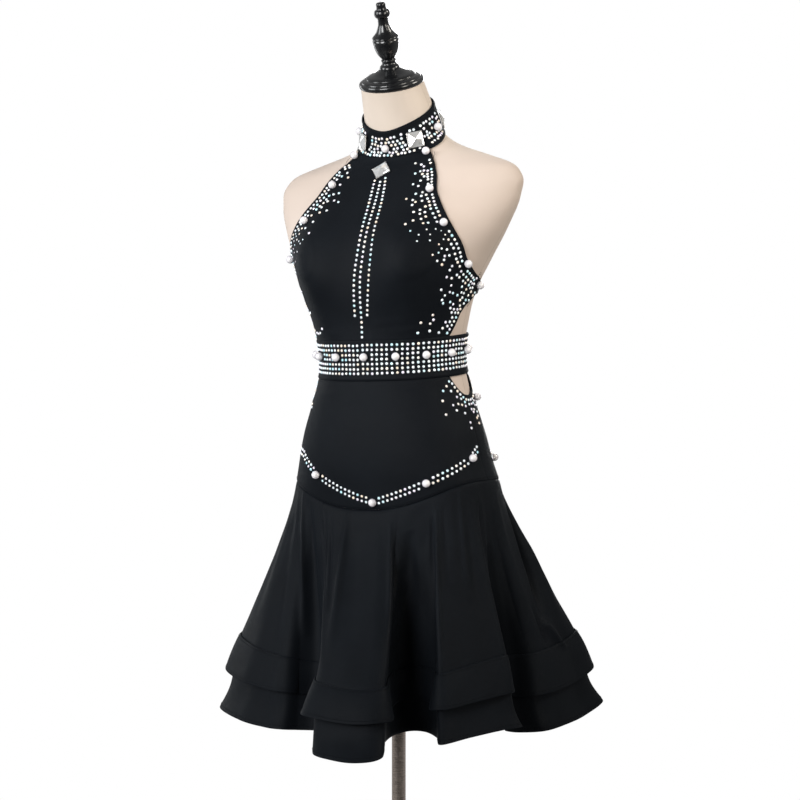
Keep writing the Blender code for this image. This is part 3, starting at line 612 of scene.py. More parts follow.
def jersey_material():
    """Matte black stretch jersey: a fine knit, a faint cool sheen and a trace of lint."""
    made = new_material(
        "black jersey", (0.0065, 0.0080, 0.0106), 0.55,
        Sheen_Weight=0.01, Sheen_Roughness=0.40, Sheen_Tint=(0.72, 0.84, 1.0, 1.0), Specular_IOR_Level=0.05
    )
    tree = made.node_tree
    patchy = place_group(tree, PATCHY, Patch_size=0.07, Speck_size=0.0016)
    dye = ramp(tree, patchy["Patches"], (0.30, (0.0058, 0.0071, 0.0094)), (0.70, (0.0073, 0.0090, 0.0118)))
    lint = ramp(tree, patchy["Specks"], (0.76, (0.0, 0.0, 0.0)), (0.82, (0.012, 0.012, 0.013)))
    feed(made, "Base Color", mixed(tree, 1.0, dye, lint, "ADD"))
    feed(made, "Roughness", mapped(tree, patchy["Patches"], 0.48, 0.60))
    bump_from(made, place_group(tree, KNIT, Wale_width=0.00055)["Height"], 0.00012, 0.5)
    return made


jersey = jersey_material()


def bodice():
    """Rows run up from the belt and bend with the collar's edge; columns run from side to side."""
    levels = np.concatenate([
        np.linspace(BELT_TOP, STRAP_BOTTOM, 22, endpoint=False),
        np.linspace(STRAP_BOTTOM, STRAP_TOP, 8, endpoint=False),
        np.linspace(STRAP_TOP, ARMHOLE_EDGE[-1].level, 80),
    ])
    across = np.linspace(-1.0, 1.0, 170)
    # More columns near the edges, where the turned hems are.
    across = np.sign(across) * (1.0 - (1.0 - np.abs(across)) ** 1.35)
    edge = bodice_edge(levels)[:, None]
    angle = edge * across[None, :]
    top = ARMHOLE_EDGE[-1].level
    share = np.clip((levels - BODICE_BEND_FROM) / (top - BODICE_BEND_FROM), 0.0, 1.0)
    level = levels[:, None] + share[:, None] * (collar_bottom(angle) - top)
    from_edge = (edge - np.abs(angle)) * metres_round(angle, level)
    from_pad = np.hypot((np.abs(angle) - PAD_ANGLE) * PAD_DEGREE, level - PAD_LEVEL)
    pad = PAD_LIFT / (1.0 + np.exp((from_pad - PAD_RADIUS) / PAD_SOFTNESS))
    inside = CLOTH_GAP + pad + creased(BODICE_CREASES, angle, level)
    inside = inside + 0.00025 * ripple(angle * CLOTH_DEGREE, level, 0.05, 3)
    thick = (CLOTH - PLY + turned_edge(from_edge)) * rounded(from_edge, CLOTH_ROUND)
    made = body_shell("halter_front", angle, level, inside, thick, CLOTH_DEGREE)
    fit(
        made, "jersey", "bodice_front", flat=(0.40, 0.29), area=0.0830, held="stretched",
        rests_on=["torso_cover"]
    )


bodice()

# ==================================================================================================
# Back strap: a narrow doubled strip of the same jersey across the open back, from tip to tip of the
# bodice's sides.
# ==================================================================================================
STRAP_DEGREE = 0.0020                     # metres of cloth in a degree


def strap():
    start = STRAP_START + 0.2             # just clear of the bodice's tips
    angle, share = np.meshgrid(np.linspace(start, 360.0 - start, 180), np.linspace(0.0, 1.0, 14))
    level = STRAP_BOTTOM + (STRAP_TOP - STRAP_BOTTOM) * share
    from_edge = np.minimum(share, 1.0 - share) * (STRAP_TOP - STRAP_BOTTOM)
    inside = CLOTH_GAP + 0.0002 * ripple(angle * STRAP_DEGREE, level, 0.04, 5)
    thick = CLOTH * rounded(from_edge, CLOTH_ROUND)
    made = body_shell("strap_across_back", angle, level, inside, thick, STRAP_DEGREE)
    fit(
        made, "jersey", "back_strap", flat=(0.30, 0.019), held="stretched",
        rests_on=["torso_cover", "halter_front"]
    )


strap()

# ==================================================================================================
# Collar: the halter's stand-up neckband, doubled jersey with a turned edge above and below. It
# stands close round the neck and flares a little where the shoulders begin.
# ==================================================================================================
COLLAR_DEGREE, COLLAR_KNIT_DEGREE = 0.0010, 0.00102  # metres of cloth and of its knit in a degree
COLLAR_FOLDS, FOLD_SPREAD = (0.93, 0.06), 0.05       # its turned edges, as shares of its width


def collar():
    angle, share = np.meshgrid(np.arange(240) * 1.5, np.linspace(0.0, 1.0, 34))
    level = collar_bottom(angle) + COLLAR_WIDTH * share
    from_edge = np.minimum(share, 1.0 - share) * COLLAR_WIDTH
    folded = sum(PLY * np.exp(-((share - place) / FOLD_SPREAD) ** 2) for place in COLLAR_FOLDS)
    inside = CLOTH_GAP + 0.0002 * ripple(angle * COLLAR_DEGREE, level, 0.03, 7)
    thick = (BAND - PLY + folded) * rounded(from_edge, BAND_ROUND)
    made = body_shell("neckband", angle, level, inside, thick, COLLAR_KNIT_DEGREE, wrap=True)
    fit(made, "jersey", "collar", flat=(0.39, 0.045), held="stretched", rests_on=["torso_cover"])


collar()

# ==================================================================================================
# Belt: a firm band of doubled jersey all round the waist, sewn between the bodice and the hips. Its
# two edges are turned over a stay tape.
# ==================================================================================================
BELT_DEGREE, BELT_KNIT_DEGREE = 0.0018, 0.00178      # metres of cloth and of its knit in a degree
TAPE_IN, TAPE_SPREAD = 0.0028, 0.0018                # from an edge to the tape's middle, and its spread


def belt():
    angle, share = np.meshgrid(np.arange(240) * 1.5, np.linspace(0.0, 1.0, 32))
    level = BELT_BOTTOM + (BELT_TOP - BELT_BOTTOM) * share
    from_edge = np.minimum(share, 1.0 - share) * (BELT_TOP - BELT_BOTTOM)
    tape = PLY * np.exp(-((from_edge - TAPE_IN) / TAPE_SPREAD) ** 2)
    inside = CLOTH_GAP + 0.0001 * ripple(angle * BELT_DEGREE, level, 0.06, 9)
    thick = (BAND - PLY + tape) * rounded(from_edge, BAND_ROUND)
    made = body_shell("waistband", angle, level, inside, thick, BELT_KNIT_DEGREE, wrap=True)
    fit(made, "jersey", "waist_belt", flat=(0.65, 0.060), held="stretched", rests_on=["torso_cover"])


belt()

# ==================================================================================================
# Hips: a front and a back piece joined at side seams, scooped out at each side under the belt. Both
# end in the curved drop seam, whose thick allowance lifts them off the form.
# ==================================================================================================
# The scoop: the angle of its middle, how far it goes towards the front and the back, its depth, and
# how round it is. The drop seam: its level at the sides, and how far it dips in front and behind.
SCOOP_MIDDLE, SCOOP_HALF, SCOOP_BACK_HALF, SCOOP_DEPTH, SCOOP_ROUND = 93.5, 19.7, 27.0, 0.0300, 0.85
DROP_SIDE, DROP_FRONT_DIP, DROP_BACK_DIP = 0.8850, 0.0410, 0.0260
SEAM_DROP, SEAM_STAND_OFF = 0.0006, 0.0030  # how far below its level and off the form the seam is
HIP_DEGREE = 0.0024                       # metres of cloth in a degree
HIP_CREASES = (
    Crease(12.0, 1.022, 55.0, 1.014, 0.0045, 0.0007), Crease(-10.0, 1.020, -52.0, 1.012, 0.0045, 0.0007),
    Crease(60.0, 1.004, 84.0, 0.985, 0.0050, 0.0007), Crease(-60.0, 1.006, -84.0, 0.984, 0.0050, 0.0007),
    Crease(28.0, 0.998, 50.0, 0.990, 0.0060, 0.0004), Crease(-35.0, 0.905, -60.0, 0.925, 0.0060, 0.0006),
    Crease(40.0, 0.898, 70.0, 0.915, 0.0060, 0.0006), Crease(150.0, 1.018, 200.0, 1.016, 0.0050, 0.0007),
    Crease(140.0, 0.985, 168.0, 0.975, 0.0055, 0.0006), Crease(196.0, 0.975, 222.0, 0.988, 0.0055, 0.0006),
)


def hip_top(angle):
    """The level of the hips' upper edge, which meets the belt but for the scoops."""
    beyond = np.abs((angle + 180.0) % 360.0 - 180.0) - SCOOP_MIDDLE
    from_scoop = np.clip(beyond / np.where(beyond < 0, SCOOP_HALF, SCOOP_BACK_HALF), -1.0, 1.0)
    return BELT_BOTTOM - SCOOP_DEPTH * np.clip(np.cos(np.pi / 2 * from_scoop), 0.0, 1.0) ** SCOOP_ROUND


def drop_seam(angle):
    """The level of the drop seam, which dips in the middle of the front and of the back."""
    ahead = np.cos(np.radians(angle))
    return DROP_SIDE - np.where(ahead > 0, DROP_FRONT_DIP, DROP_BACK_DIP) * np.abs(ahead) ** 3


def hip_lift(share):
    """How far the drop seam lifts the hips off the form, by the share of the way up from it."""
    return SEAM_STAND_OFF * np.clip(1.0 - share * 3.0, 0.0, 1.0) ** 2


def hips(name, node, first_angle, last_angle, flat, area):
    """A hip piece between two angles; its rows are a little closer near the drop seam."""
    columns, rows = np.linspace(first_angle, last_angle, 170), np.linspace(0.0, 1.0, 60) ** 1.1
    angle, share = np.meshgrid(columns, rows)
    low = drop_seam(angle) - SEAM_DROP
    high = hip_top(angle)
    level = low + (high - low) * share
    # Only the scoops are turned in and stitched; elsewhere the top is sewn to the belt.
    is_open = np.clip((BELT_BOTTOM - high) / 0.004, 0.0, 1.0)
    from_side = np.minimum(angle - first_angle, last_angle - angle) * 0.0025
    from_edge = np.minimum(np.minimum(from_side, high - level), level - low)
    inside = CLOTH_GAP + hip_lift(share) + creased(HIP_CREASES, angle, level)
    inside = inside + 0.0003 * ripple(angle * HIP_DEGREE, level, 0.06, 11)
    thick = (CLOTH - PLY + is_open * turned_edge(high - level)) * rounded(from_edge, CLOTH_ROUND)
    made = body_shell(name, angle, level, inside, thick, HIP_DEGREE)
    fit(made, "jersey", node, flat=flat, area=area, held="stretched", rests_on=["torso_cover", "waistband"])


hips("hips_front", "hip_front", -90.0, 90.0, (0.38, 0.19), 0.0560)
hips("hips_back", "hip_back", 90.0, 270.0, (0.42, 0.17), 0.0580)

# ==================================================================================================
# Skirt: flared panels, front and back, that fall from the drop seam in deep rolling folds. Two stiff
# hem flounces are sewn on one below the other, the upper one lying over the lower.
# ==================================================================================================
# A tier is a share of the way from the drop seam to the lower hem, and how much more it is on the side
# that it leans towards.
Tier = namedtuple("Tier", "share sway towards")
SKIRT_TOP, LOWER_HEM = Tier(0.0, 0.0, 0.0), Tier(1.0, 0.0, 0.0)
FLOUNCE_SEAM, UPPER_HEM = Tier(0.689, 0.041, 17.0), Tier(0.845, 0.018, 40.0)
FLOUNCE_START_OFF, FLOUNCE_HEM_OFF = 0.0019, 0.0125  # the upper flounce off the skirt, at seam and hem
UNDER_SEAM, OVER_SEAM = 0.0015, 0.0060    # the lower flounce starts below their seam, the upper above it
HIP_FLOW, HEM_FLICK, FLICK_BEND = 0.55, 0.078, 1.6   # how the cloth swings out from hips to hem
SKIRT_DEGREE, SKIRT_LENGTH = 0.0035, 0.36            # metres of cloth in a degree, and from seam to hem
SKIRT_KNIT_DEGREE = 0.0042                # metres of knit in a degree, at the fuller hem
SKIRT_TUCK, TUCK_FADE = 0.0011, 0.008     # how far its top tucks under the hips, fading over this share
HEM_LIP, LIP_IN, LIP_SPREAD = 0.0009, 0.0010, 0.0014  # a rolled hem: its extra thickness, place and spread
HEM_ROUND = 0.0008                        # how far in from its edges the skirt's cloth rounds over

# The lower hem round the body: where it is from above, how high, the angle on the drop seam that it
# hangs from, and how far the upper flounce may stand off there (about 1 on a fold, less in a valley).
HemMark = namedtuple("HemMark", "angle radius height seam_angle open")
HEM_MARKS = (
    HemMark(-75.9, 0.282, 0.535, -80.0, 1.00), HemMark(-55.0, 0.235, 0.529, -61.0, 1.00),
    HemMark(-39.5, 0.208, 0.527, -51.0, 1.00), HemMark(-32.5, 0.191, 0.526, -46.0, 0.80),
    HemMark(-31.2, 0.166, 0.524, -41.0, 0.35),
    HemMark(-23.5, 0.145, 0.524, -34.0, 0.25), HemMark(-9.1, 0.157, 0.525, -28.5, 0.35),      # valley
    HemMark(-1.7, 0.211, 0.521, -24.5, 1.20), HemMark(3.2, 0.260, 0.516, -21.0, 1.70),
    HemMark(10.5, 0.278, 0.513, -13.0, 1.20), HemMark(16.8, 0.287, 0.512, -3.0, 1.00),
    HemMark(22.3, 0.287, 0.514, 7.0, 1.00), HemMark(25.3, 0.273, 0.518, 13.0, 1.00),
    HemMark(25.0, 0.236, 0.523, 15.5, 0.80), HemMark(24.3, 0.191, 0.525, 18.0, 0.50),
    HemMark(27.6, 0.155, 0.529, 22.5, 0.30), HemMark(36.6, 0.139, 0.532, 28.5, 0.30),         # valley
    HemMark(45.3, 0.146, 0.531, 34.5, 0.35), HemMark(47.9, 0.177, 0.527, 38.5, 0.60),
    HemMark(45.3, 0.221, 0.525, 41.5, 1.00), HemMark(57.5, 0.214, 0.531, 53.0, 1.00),
    HemMark(70.3, 0.219, 0.537, 67.0, 0.90), HemMark(78.5, 0.230, 0.540, 76.0, 0.35),
    HemMark(85.0, 0.206, 0.535, 80.0, 0.30),
    HemMark(89.9, 0.180, 0.527, 83.0, 0.30), HemMark(95.4, 0.171, 0.521, 86.0, 0.30),         # valley
    HemMark(100.0, 0.187, 0.518, 89.5, 0.70), HemMark(101.7, 0.223, 0.521, 94.0, 1.00),
    HemMark(110.7, 0.246, 0.525, 101.0, 1.00), HemMark(121.0, 0.276, 0.532, 107.0, 1.00),
    HemMark(129.2, 0.311, 0.548, 114.0, 1.00), HemMark(137.0, 0.282, 0.550, 120.0, 0.80),
    HemMark(144.0, 0.210, 0.546, 128.0, 0.30),                                                # valley
    HemMark(152.0, 0.266, 0.550, 138.0, 1.00), HemMark(166.0, 0.266, 0.552, 156.0, 1.00),
    HemMark(177.0, 0.170, 0.545, 168.0, 0.30),                                                # valley
    HemMark(189.0, 0.264, 0.551, 181.0, 1.00), HemMark(205.0, 0.276, 0.550, 200.0, 1.00),
    HemMark(216.0, 0.165, 0.543, 212.0, 0.30),                                                # valley
    HemMark(227.0, 0.258, 0.547, 223.0, 1.00), HemMark(243.0, 0.270, 0.545, 243.0, 1.00),
    HemMark(255.0, 0.198, 0.540, 254.0, 0.40),                                                # valley
    HemMark(266.0, 0.270, 0.538, 264.0, 1.00),
)
# Creases between the folds, as angles on the drop seam and shares of the way down to the lower hem.
SKIRT_CREASES = (
    Crease(-74.0, 0.10, -72.0, 0.62, 0.009, 0.0020, 0.016),
    Crease(-64.5, 0.06, -63.0, 0.66, 0.009, 0.0026, 0.015),
    Crease(-56.0, 0.06, -52.5, 0.66, 0.009, -0.0022, 0.015),
    Crease(-53.0, 0.35, -52.0, 1.10, 0.014, -0.0040, 0.020),
    Crease(-50.0, 0.02, -46.5, 0.52, 0.006, -0.0016, 0.009),
    Crease(-43.8, 0.00, -39.5, 0.62, 0.0065, 0.0058, 0.010),
    Crease(-43.0, 0.45, -43.5, 1.12, 0.013, 0.0048, 0.018),
    Crease(-36.0, 0.02, -32.0, 1.00, 0.008, -0.0080, 0.015),
    Crease(-24.5, 0.00, -19.0, 0.64, 0.0035, 0.0050, 0.006),
    Crease(-23.0, 0.02, -22.0, 0.72, 0.010, -0.0100, 0.010),
    Crease(-18.0, 0.03, -16.5, 0.45, 0.0045, -0.0040, 0.007),
    Crease(-7.5, 0.01, -15.5, 0.62, 0.0055, 0.0045, 0.008),
    Crease(-3.0, 0.10, -6.0, 0.55, 0.012, -0.0025, 0.018),
    Crease(6.0, 0.06, 8.0, 0.60, 0.009, 0.0015, 0.014),
    Crease(13.0, 0.06, 14.5, 0.70, 0.0035, 0.0035, 0.006),
    Crease(16.5, 0.10, 17.5, 0.72, 0.0030, -0.0035, 0.006),
    Crease(25.0, 0.12, 27.0, 0.98, 0.012, -0.0140, 0.022),
    Crease(38.5, 0.08, 38.5, 0.70, 0.0040, -0.0050, 0.007),
    Crease(42.0, 0.06, 41.8, 0.70, 0.0035, 0.0040, 0.006),
    Crease(47.0, 0.05, 46.5, 0.40, 0.0050, -0.0028, 0.008),
    Crease(53.0, 0.03, 53.0, 0.50, 0.008, 0.0015, 0.012),
    Crease(60.8, 0.00, 59.0, 0.48, 0.0055, 0.0030, 0.010),
    Crease(66.0, 0.05, 65.0, 0.55, 0.0070, -0.0022, 0.012),
    Crease(77.5, 0.08, 78.0, 1.00, 0.009, -0.0110, 0.012),
    Crease(84.5, 0.25, 86.5, 0.97, 0.012, -0.0120, 0.020),
    Crease(92.0, 0.12, 94.0, 0.96, 0.008, -0.0080, 0.015),
    Crease(98.0, 0.04, 97.0, 0.62, 0.0080, 0.0020, 0.014),
    Crease(101.0, 0.50, 102.5, 0.70, 0.004, -0.0045), Crease(103.5, 0.57, 106.8, 0.72, 0.0035, 0.0055),
    Crease(113.8, 0.04, 103.0, 0.60, 0.0040, -0.0100, 0.0055),
    Crease(118.0, 0.06, 108.0, 0.66, 0.006, 0.0060, 0.010),
    Crease(120.0, 0.05, 120.0, 0.66, 0.006, 0.0030, 0.010),
    Crease(127.0, 0.10, 128.0, 0.80, 0.006, -0.0050, 0.012),
    Crease(139.0, 0.02, 137.0, 0.66, 0.0055, 0.0050, 0.009),
    Crease(149.0, 0.06, 151.0, 0.58, 0.009, -0.0030, 0.014),
    Crease(160.0, 0.08, 158.0, 0.62, 0.006, 0.0030, 0.010),
    Crease(168.0, 0.10, 168.5, 0.80, 0.006, -0.0060, 0.013),
    Crease(178.0, 0.02, 181.0, 0.60, 0.0045, 0.0050, 0.008),
    Crease(190.0, 0.10, 188.0, 0.66, 0.010, -0.0030, 0.016),
    Crease(199.0, 0.04, 202.0, 0.64, 0.006, 0.0035, 0.012),
    Crease(212.5, 0.10, 212.0, 0.80, 0.006, -0.0060, 0.012),
    Crease(221.0, 0.02, 224.0, 0.66, 0.0045, 0.0045, 0.009),
    Crease(233.0, 0.08, 231.0, 0.60, 0.009, -0.0030, 0.014),
    Crease(244.0, 0.03, 242.0, 0.66, 0.006, 0.0040, 0.011),
    Crease(254.0, 0.10, 254.5, 0.80, 0.007, -0.0060, 0.013),
    Crease(263.0, 0.03, 265.0, 0.66, 0.0055, 0.0040, 0.010),
)


def round_hem(values, place, turn=0.0):
    """A smooth closed curve through one value for each mark, read at places counted in marks; the
    values grow by turn on each way round."""
    values = np.asarray(values, float)
    number = np.floor(place).astype(int)
    marks = (number + step for step in range(-1, 3))
    before, start, end, after = (values[at % len(values)] + turn * (at // len(values)) for at in marks)
    return bend(place - number, start, (end - before) / 2, end, (after - start) / 2)


hem_turn = np.radians([mark.angle for mark in HEM_MARKS])
hem_radius = np.array([mark.radius for mark in HEM_MARKS])
hem_places = (
    hem_radius * np.sin(hem_turn), -hem_radius * np.cos(hem_turn), [mark.height for mark in HEM_MARKS]
)


def seam_angle(place):
    return round_hem([mark.seam_angle for mark in HEM_MARKS], place, 360.0)


every_place = np.linspace(-3.0, len(HEM_MARKS) + 3.0, 4000)
every_angle = np.maximum.accumulate(seam_angle(every_place))


def hem_place(angle):
    """The place along the hem, counted in marks, that hangs from an angle on the drop seam."""
    return np.interp(angle, every_angle, every_place)


def tier_share(tier, angle):
    """How far down the skirt a tier is, below an angle on the drop seam."""
    return tier.share + tier.sway * np.cos(np.radians(angle - tier.towards))


def skirt_plain(place, share):
    """The skirt without its creases, at places along the hem and shares of the way down."""
    angle = seam_angle(place)
    seam = over_skin(angle, drop_seam(angle) - SEAM_DROP, CLOTH_GAP + SEAM_STAND_OFF)
    hem = np.stack([round_hem(places, place) for places in hem_places], -1)
    swing = (1 - HIP_FLOW) * share + HIP_FLOW * (3 * share**2 - 2 * share**3)
    flounce = tier_share(FLOUNCE_SEAM, angle)
    below = np.clip((share - flounce) / (1.0 - flounce), 0.0, 1.0)
    swing = swing - HEM_FLICK * np.sin(np.pi * below**FLICK_BEND)
    return seam + (hem - seam) * np.stack([swing, swing, np.broadcast_to(share, swing.shape)], -1)


def skirt_frame(place, share):
    """At each place: the way along the skirt, the way up it and the way out of it."""
    sideways = skirt_plain(place + 0.04, share) - skirt_plain(place - 0.04, share)
    upward = skirt_plain(place, share - 0.004) - skirt_plain(place, share + 0.004)
    return unit(sideways), unit(upward), unit(np.cross(sideways, upward))


def skirt_at(place, share, out):
    """Points of the creased skirt; out is how far they lie off its inside."""
    place, share = np.broadcast_arrays(np.asarray(place, float), np.asarray(share, float))
    angle = seam_angle(place)
    # The creases come round again after a whole turn.
    creases = sum(
        creased(SKIRT_CREASES, angle + turn, share, SKIRT_DEGREE, SKIRT_LENGTH)
        for turn in (0.0, 360.0, -360.0)
    )
    # Near the drop seam the form is close behind the cloth, and the skirt tucks under the hips.
    creases = np.where(creases < 0, creases * np.clip(0.25 + 5.0 * share, 0.0, 1.0), creases)
    lift = np.asarray(out) + creases - SKIRT_TUCK * np.exp(-np.clip(share, 0.0, 1.0) / TUCK_FADE)
    lift = lift + 0.0005 * ripple(angle * SKIRT_DEGREE, share * SKIRT_LENGTH, 0.055, 13)
    return skirt_plain(place, share) + skirt_frame(place, share)[2] * lift[..., None]


def flounce_off(place, down):
    """How far the upper flounce stands off the skirt, by the share of the way down it."""
    open_by = FLOUNCE_HEM_OFF - FLOUNCE_START_OFF
    return FLOUNCE_START_OFF + open_by * down * round_hem([mark.open for mark in HEM_MARKS], place)


def skirt_panel(name, node, half, tiers, size, flat, area, hangs_on, lip=0.0, over=False):
    """A stretch of skirt between two angles and two tiers; size is its columns and rows, lip is how much
    thicker its hem is, and over says that it lies over the skirt as the upper flounce does."""
    places = np.linspace(hem_place(half[0]), hem_place(half[1]), size[0])
    place, down = np.meshgrid(places, np.linspace(1.0, 0.0, size[1]))
    angle = seam_angle(place)
    high, low = (tier_share(tier, angle) for tier in tiers)
    share = high + (low - high) * down
    inside = flounce_off(place, down) if over else np.zeros(place.shape)
    from_hem, from_top = (1.0 - down) * SKIRT_LENGTH * (low - high), down * SKIRT_LENGTH * (low - high)
    thick = CLOTH - PLY + lip * np.exp(-((from_hem - LIP_IN) / LIP_SPREAD) ** 2)
    thick = thick * rounded(np.minimum(from_hem, from_top), HEM_ROUND)
    uv = np.stack([angle * SKIRT_KNIT_DEGREE, -share * SKIRT_LENGTH], -1)
    made = cloth_shell(name, skirt_at(place, share, inside + thick), skirt_at(place, share, inside), uv)
    fit(made, "jersey", node, flat=flat, area=area, held="hung", rests_on=hangs_on)


under_seam = FLOUNCE_SEAM._replace(share=FLOUNCE_SEAM.share + UNDER_SEAM)
over_seam = FLOUNCE_SEAM._replace(share=FLOUNCE_SEAM.share - OVER_SEAM)
for side, half, columns in (("front", (-90.0, 90.0), 420), ("back", (90.0, 270.0), 300)):
    panel = f"skirt_panel_{side}"
    skirt_panel(
        panel, f"skirt_{side}", half, (SKIRT_TOP, FLOUNCE_SEAM), (columns, 74),
        flat=(0.85, 0.42), area=0.155, hangs_on=[f"hips_{side}"]
    )
    skirt_panel(
        f"under_flounce_{side}", f"lower_flounce_{side}", half, (under_seam, LOWER_HEM), (columns, 34),
        flat=(1.10, 0.14), area=0.105, hangs_on=[panel], lip=HEM_LIP
    )
    skirt_panel(
        f"over_flounce_{side}", f"upper_flounce_{side}", half, (over_seam, UPPER_HEM), (columns, 24),
        flat=(1.05, 0.09), area=0.056, hangs_on=[panel], lip=HEM_LIP, over=True
    )

# ==================================================================================================
# Stitching in black: a twin row along each turned edge, and one along each seam and each edge of a
# band. Every stitch is a short raised thread that dips into the cloth at its ends.
# ==================================================================================================
STITCH_LENGTH, STITCH_PITCH, THREAD = 0.0021, 0.0028, 0.00022
TWIN_ROWS, SCOOP_TWIN_ROWS = (0.0030, 0.0055), (0.0032, 0.0058)   # in from a turned edge
EDGE_ROW, COLLAR_TOP_ROW = 0.0030, 0.0035                          # in from the edge of a band or seam
FLOUNCE_ROW, HEM_ROW = 0.010, 0.014                                # as shares of the skirt's length


def thread_material():
    """Black thread with a fine twist."""
    made = new_material("black thread", (0.006, 0.007, 0.008), 0.6, Specular_IOR_Level=0.05)
    tree = made.node_tree
    twist = add_node(tree, "ShaderNodeTexNoise", {"Scale": 900.0, "Detail": 2.0}).outputs["Fac"]
    feed(made, "Base Color", ramp(
        tree, twist, (0.35, (0.0040, 0.0048, 0.0060)), (0.65, (0.0070, 0.0080, 0.0095))
    ))
    bump_from(made, twist, 0.0001, 0.6)
    return made


thread = thread_material()


def scattered(name, shape, faces, middles, axes, sizes, material, tints=None, flat=False):
    """One mesh of many copies of a small shape, each at its middle, turned to its three axes and sized.
    A copy's tint, from 0 to 1, is kept as its UV."""
    count, corners = len(middles), len(shape)
    local = shape[None, :, :] * np.asarray(sizes).reshape(count, 1, -1)
    points = middles[:, None, :] + sum(local[..., i:i + 1] * axes[i][:, None, :] for i in range(3))
    every = [tuple(v + corners * copy for v in face) for copy in range(count) for face in faces]
    uv = None if tints is None else np.repeat(np.stack([tints, tints], -1), corners, 0)
    return link_mesh(name, points, every, material, uv, flat)


def run_along(points):
    """How far along a path each of its points is, in metres."""
    return np.concatenate([[0.0], np.cumsum(np.linalg.norm(np.diff(points, axis=0), axis=1))])


def stitch_shape():
    """One stitch: a four-sided thread, thin where it dips into the cloth at its ends."""
    shape, faces = [], []
    sections = ((-1, -0.6, 0.35), (-0.5, 0.5, 1), (0.5, 0.5, 1), (1, -0.6, 0.35))
    for step, (place, lift, girth) in enumerate(sections):
        for side in range(4):
            turn = side * math.tau / 4
            across, up = girth * math.cos(turn), lift + girth * math.sin(turn)
            shape.append((place * STITCH_LENGTH / 2, across * THREAD, up * THREAD))
            if step:
                now, after = step * 4 + side, step * 4 + (side + 1) % 4
                faces.append((now - 4, after - 4, after, now))
    return np.array(shape), faces


def read_along(run, at, values):
    """Rows of values along a path, read at distances along it."""
    return np.stack([np.interp(at, run, column) for column in values.T], -1)


def stitches(name, paths):
    """Stitches along paths of points, each path as (points, outward directions)."""
    middles, along, out = [], [], []
    for points, outward in paths:
        run = run_along(points)
        wanted = np.arange(STITCH_PITCH / 2, run[-1] - STITCH_PITCH / 2, STITCH_PITCH)
        starts = read_along(run, wanted - STITCH_LENGTH / 2, points)
        ends = read_along(run, wanted + STITCH_LENGTH / 2, points)
        middles.append(read_along(run, wanted, points))
        along.append(unit(ends - starts))
        out.append(unit(read_along(run, wanted, outward)))
    middles, along, out = (np.concatenate(rows) for rows in (middles, along, out))
    axes, sizes = (along, np.cross(out, along), out), np.ones((len(middles), 1))
    fit(scattered(name, *stitch_shape(), middles, axes, sizes, thread), "jersey")


def on_body(angle, level, out):
    return over_skin(angle, level, out), skin_frame(angle, level)[2]


def inward(angle, level, distance):
    """A line in from an edge line, by a distance along the cloth towards the wearer's front."""
    run = unit(np.stack([np.gradient(angle * metres_round(angle, level)), np.gradient(level)], -1))
    return angle - run[:, 1] * distance / metres_round(angle, level), level + run[:, 0] * distance


def edge_line(edges, count):
    levels = np.linspace(edges[0].level, edges[-1].level, count)
    return through(*zip(*edges), levels), levels


bodice_paths = []
for edges in (SIDE_EDGE, ARMHOLE_EDGE):
    for distance in TWIN_ROWS:
        line_angle, line_level = inward(*edge_line(edges, 160), distance)
        for way in (1.0, -1.0):
            bodice_paths.append(on_body(way * line_angle, line_level, CLOTH_GAP + CLOTH + 0.0001))
stitches("bodice_stitches", bodice_paths)

ring = np.linspace(0.0, 360.0, 500)
strap_ring = np.linspace(STRAP_START + 1.0, 359.0 - STRAP_START, 200)
belt_stitching = (BELT_BOTTOM + EDGE_ROW, BELT_TOP - EDGE_ROW)
collar_stitching = (EDGE_ROW, COLLAR_WIDTH - COLLAR_TOP_ROW)
strap_stitching = (STRAP_BOTTOM + EDGE_ROW, STRAP_TOP - EDGE_ROW)
stitches("band_stitches", [
    *(on_body(ring, level, CLOTH_GAP + BAND) for level in belt_stitching),
    *(on_body(ring, collar_bottom(ring) + rise, CLOTH_GAP + BAND) for rise in collar_stitching),
    *(on_body(strap_ring, level, CLOTH_GAP + CLOTH) for level in strap_stitching),
])

scoop = np.linspace(SCOOP_MIDDLE - SCOOP_HALF, SCOOP_MIDDLE + SCOOP_BACK_HALF, 120)
stitches("hip_stitches", [
    *(on_body(way * scoop, hip_top(scoop) - drop, CLOTH_GAP + CLOTH + 0.0001)
      for drop in SCOOP_TWIN_ROWS for way in (1.0, -1.0)),
    on_body(ring, drop_seam(ring) + EDGE_ROW, CLOTH_GAP + CLOTH + 0.0026),
])


def on_skirt(tier, rise, out):
    """A line all round the skirt, rise (as a share) above a tier."""
    place = np.linspace(0.0, len(HEM_MARKS), 3000)
    share = tier_share(tier, seam_angle(place)) - rise
    return skirt_at(place, share, out(place) + CLOTH - 0.0001), skirt_frame(place, share)[2]


stitches("flounce_stitches", [
    on_skirt(over_seam, -FLOUNCE_ROW, lambda place: flounce_off(place, 0.09)),
    on_skirt(UPPER_HEM, HEM_ROW, lambda place: flounce_off(place, 0.91)),
    on_skirt(LOWER_HEM, HEM_ROW, lambda place: 0.0),
])

# ==================================================================================================
# Rhinestones: round flat-backed glass stones, 4.2 mm, glued on one by one. They have a foil back and
# a rainbow coating, so they glint white, blue, green, pink and orange; here the glint is painted, as a
# faint glow and as painted reflection tints and shade that change with the view angle.
# ==================================================================================================
STONE, STONE_PITCH = 0.0042, 0.0072       # across, and centre to centre in a row
ROW_STEP = 0.0062                         # between the rows of a scatter
LOOSER = 0.0004                           # how much less evenly each further row of a scatter lies
PEARL_RADIUS = 0.0060

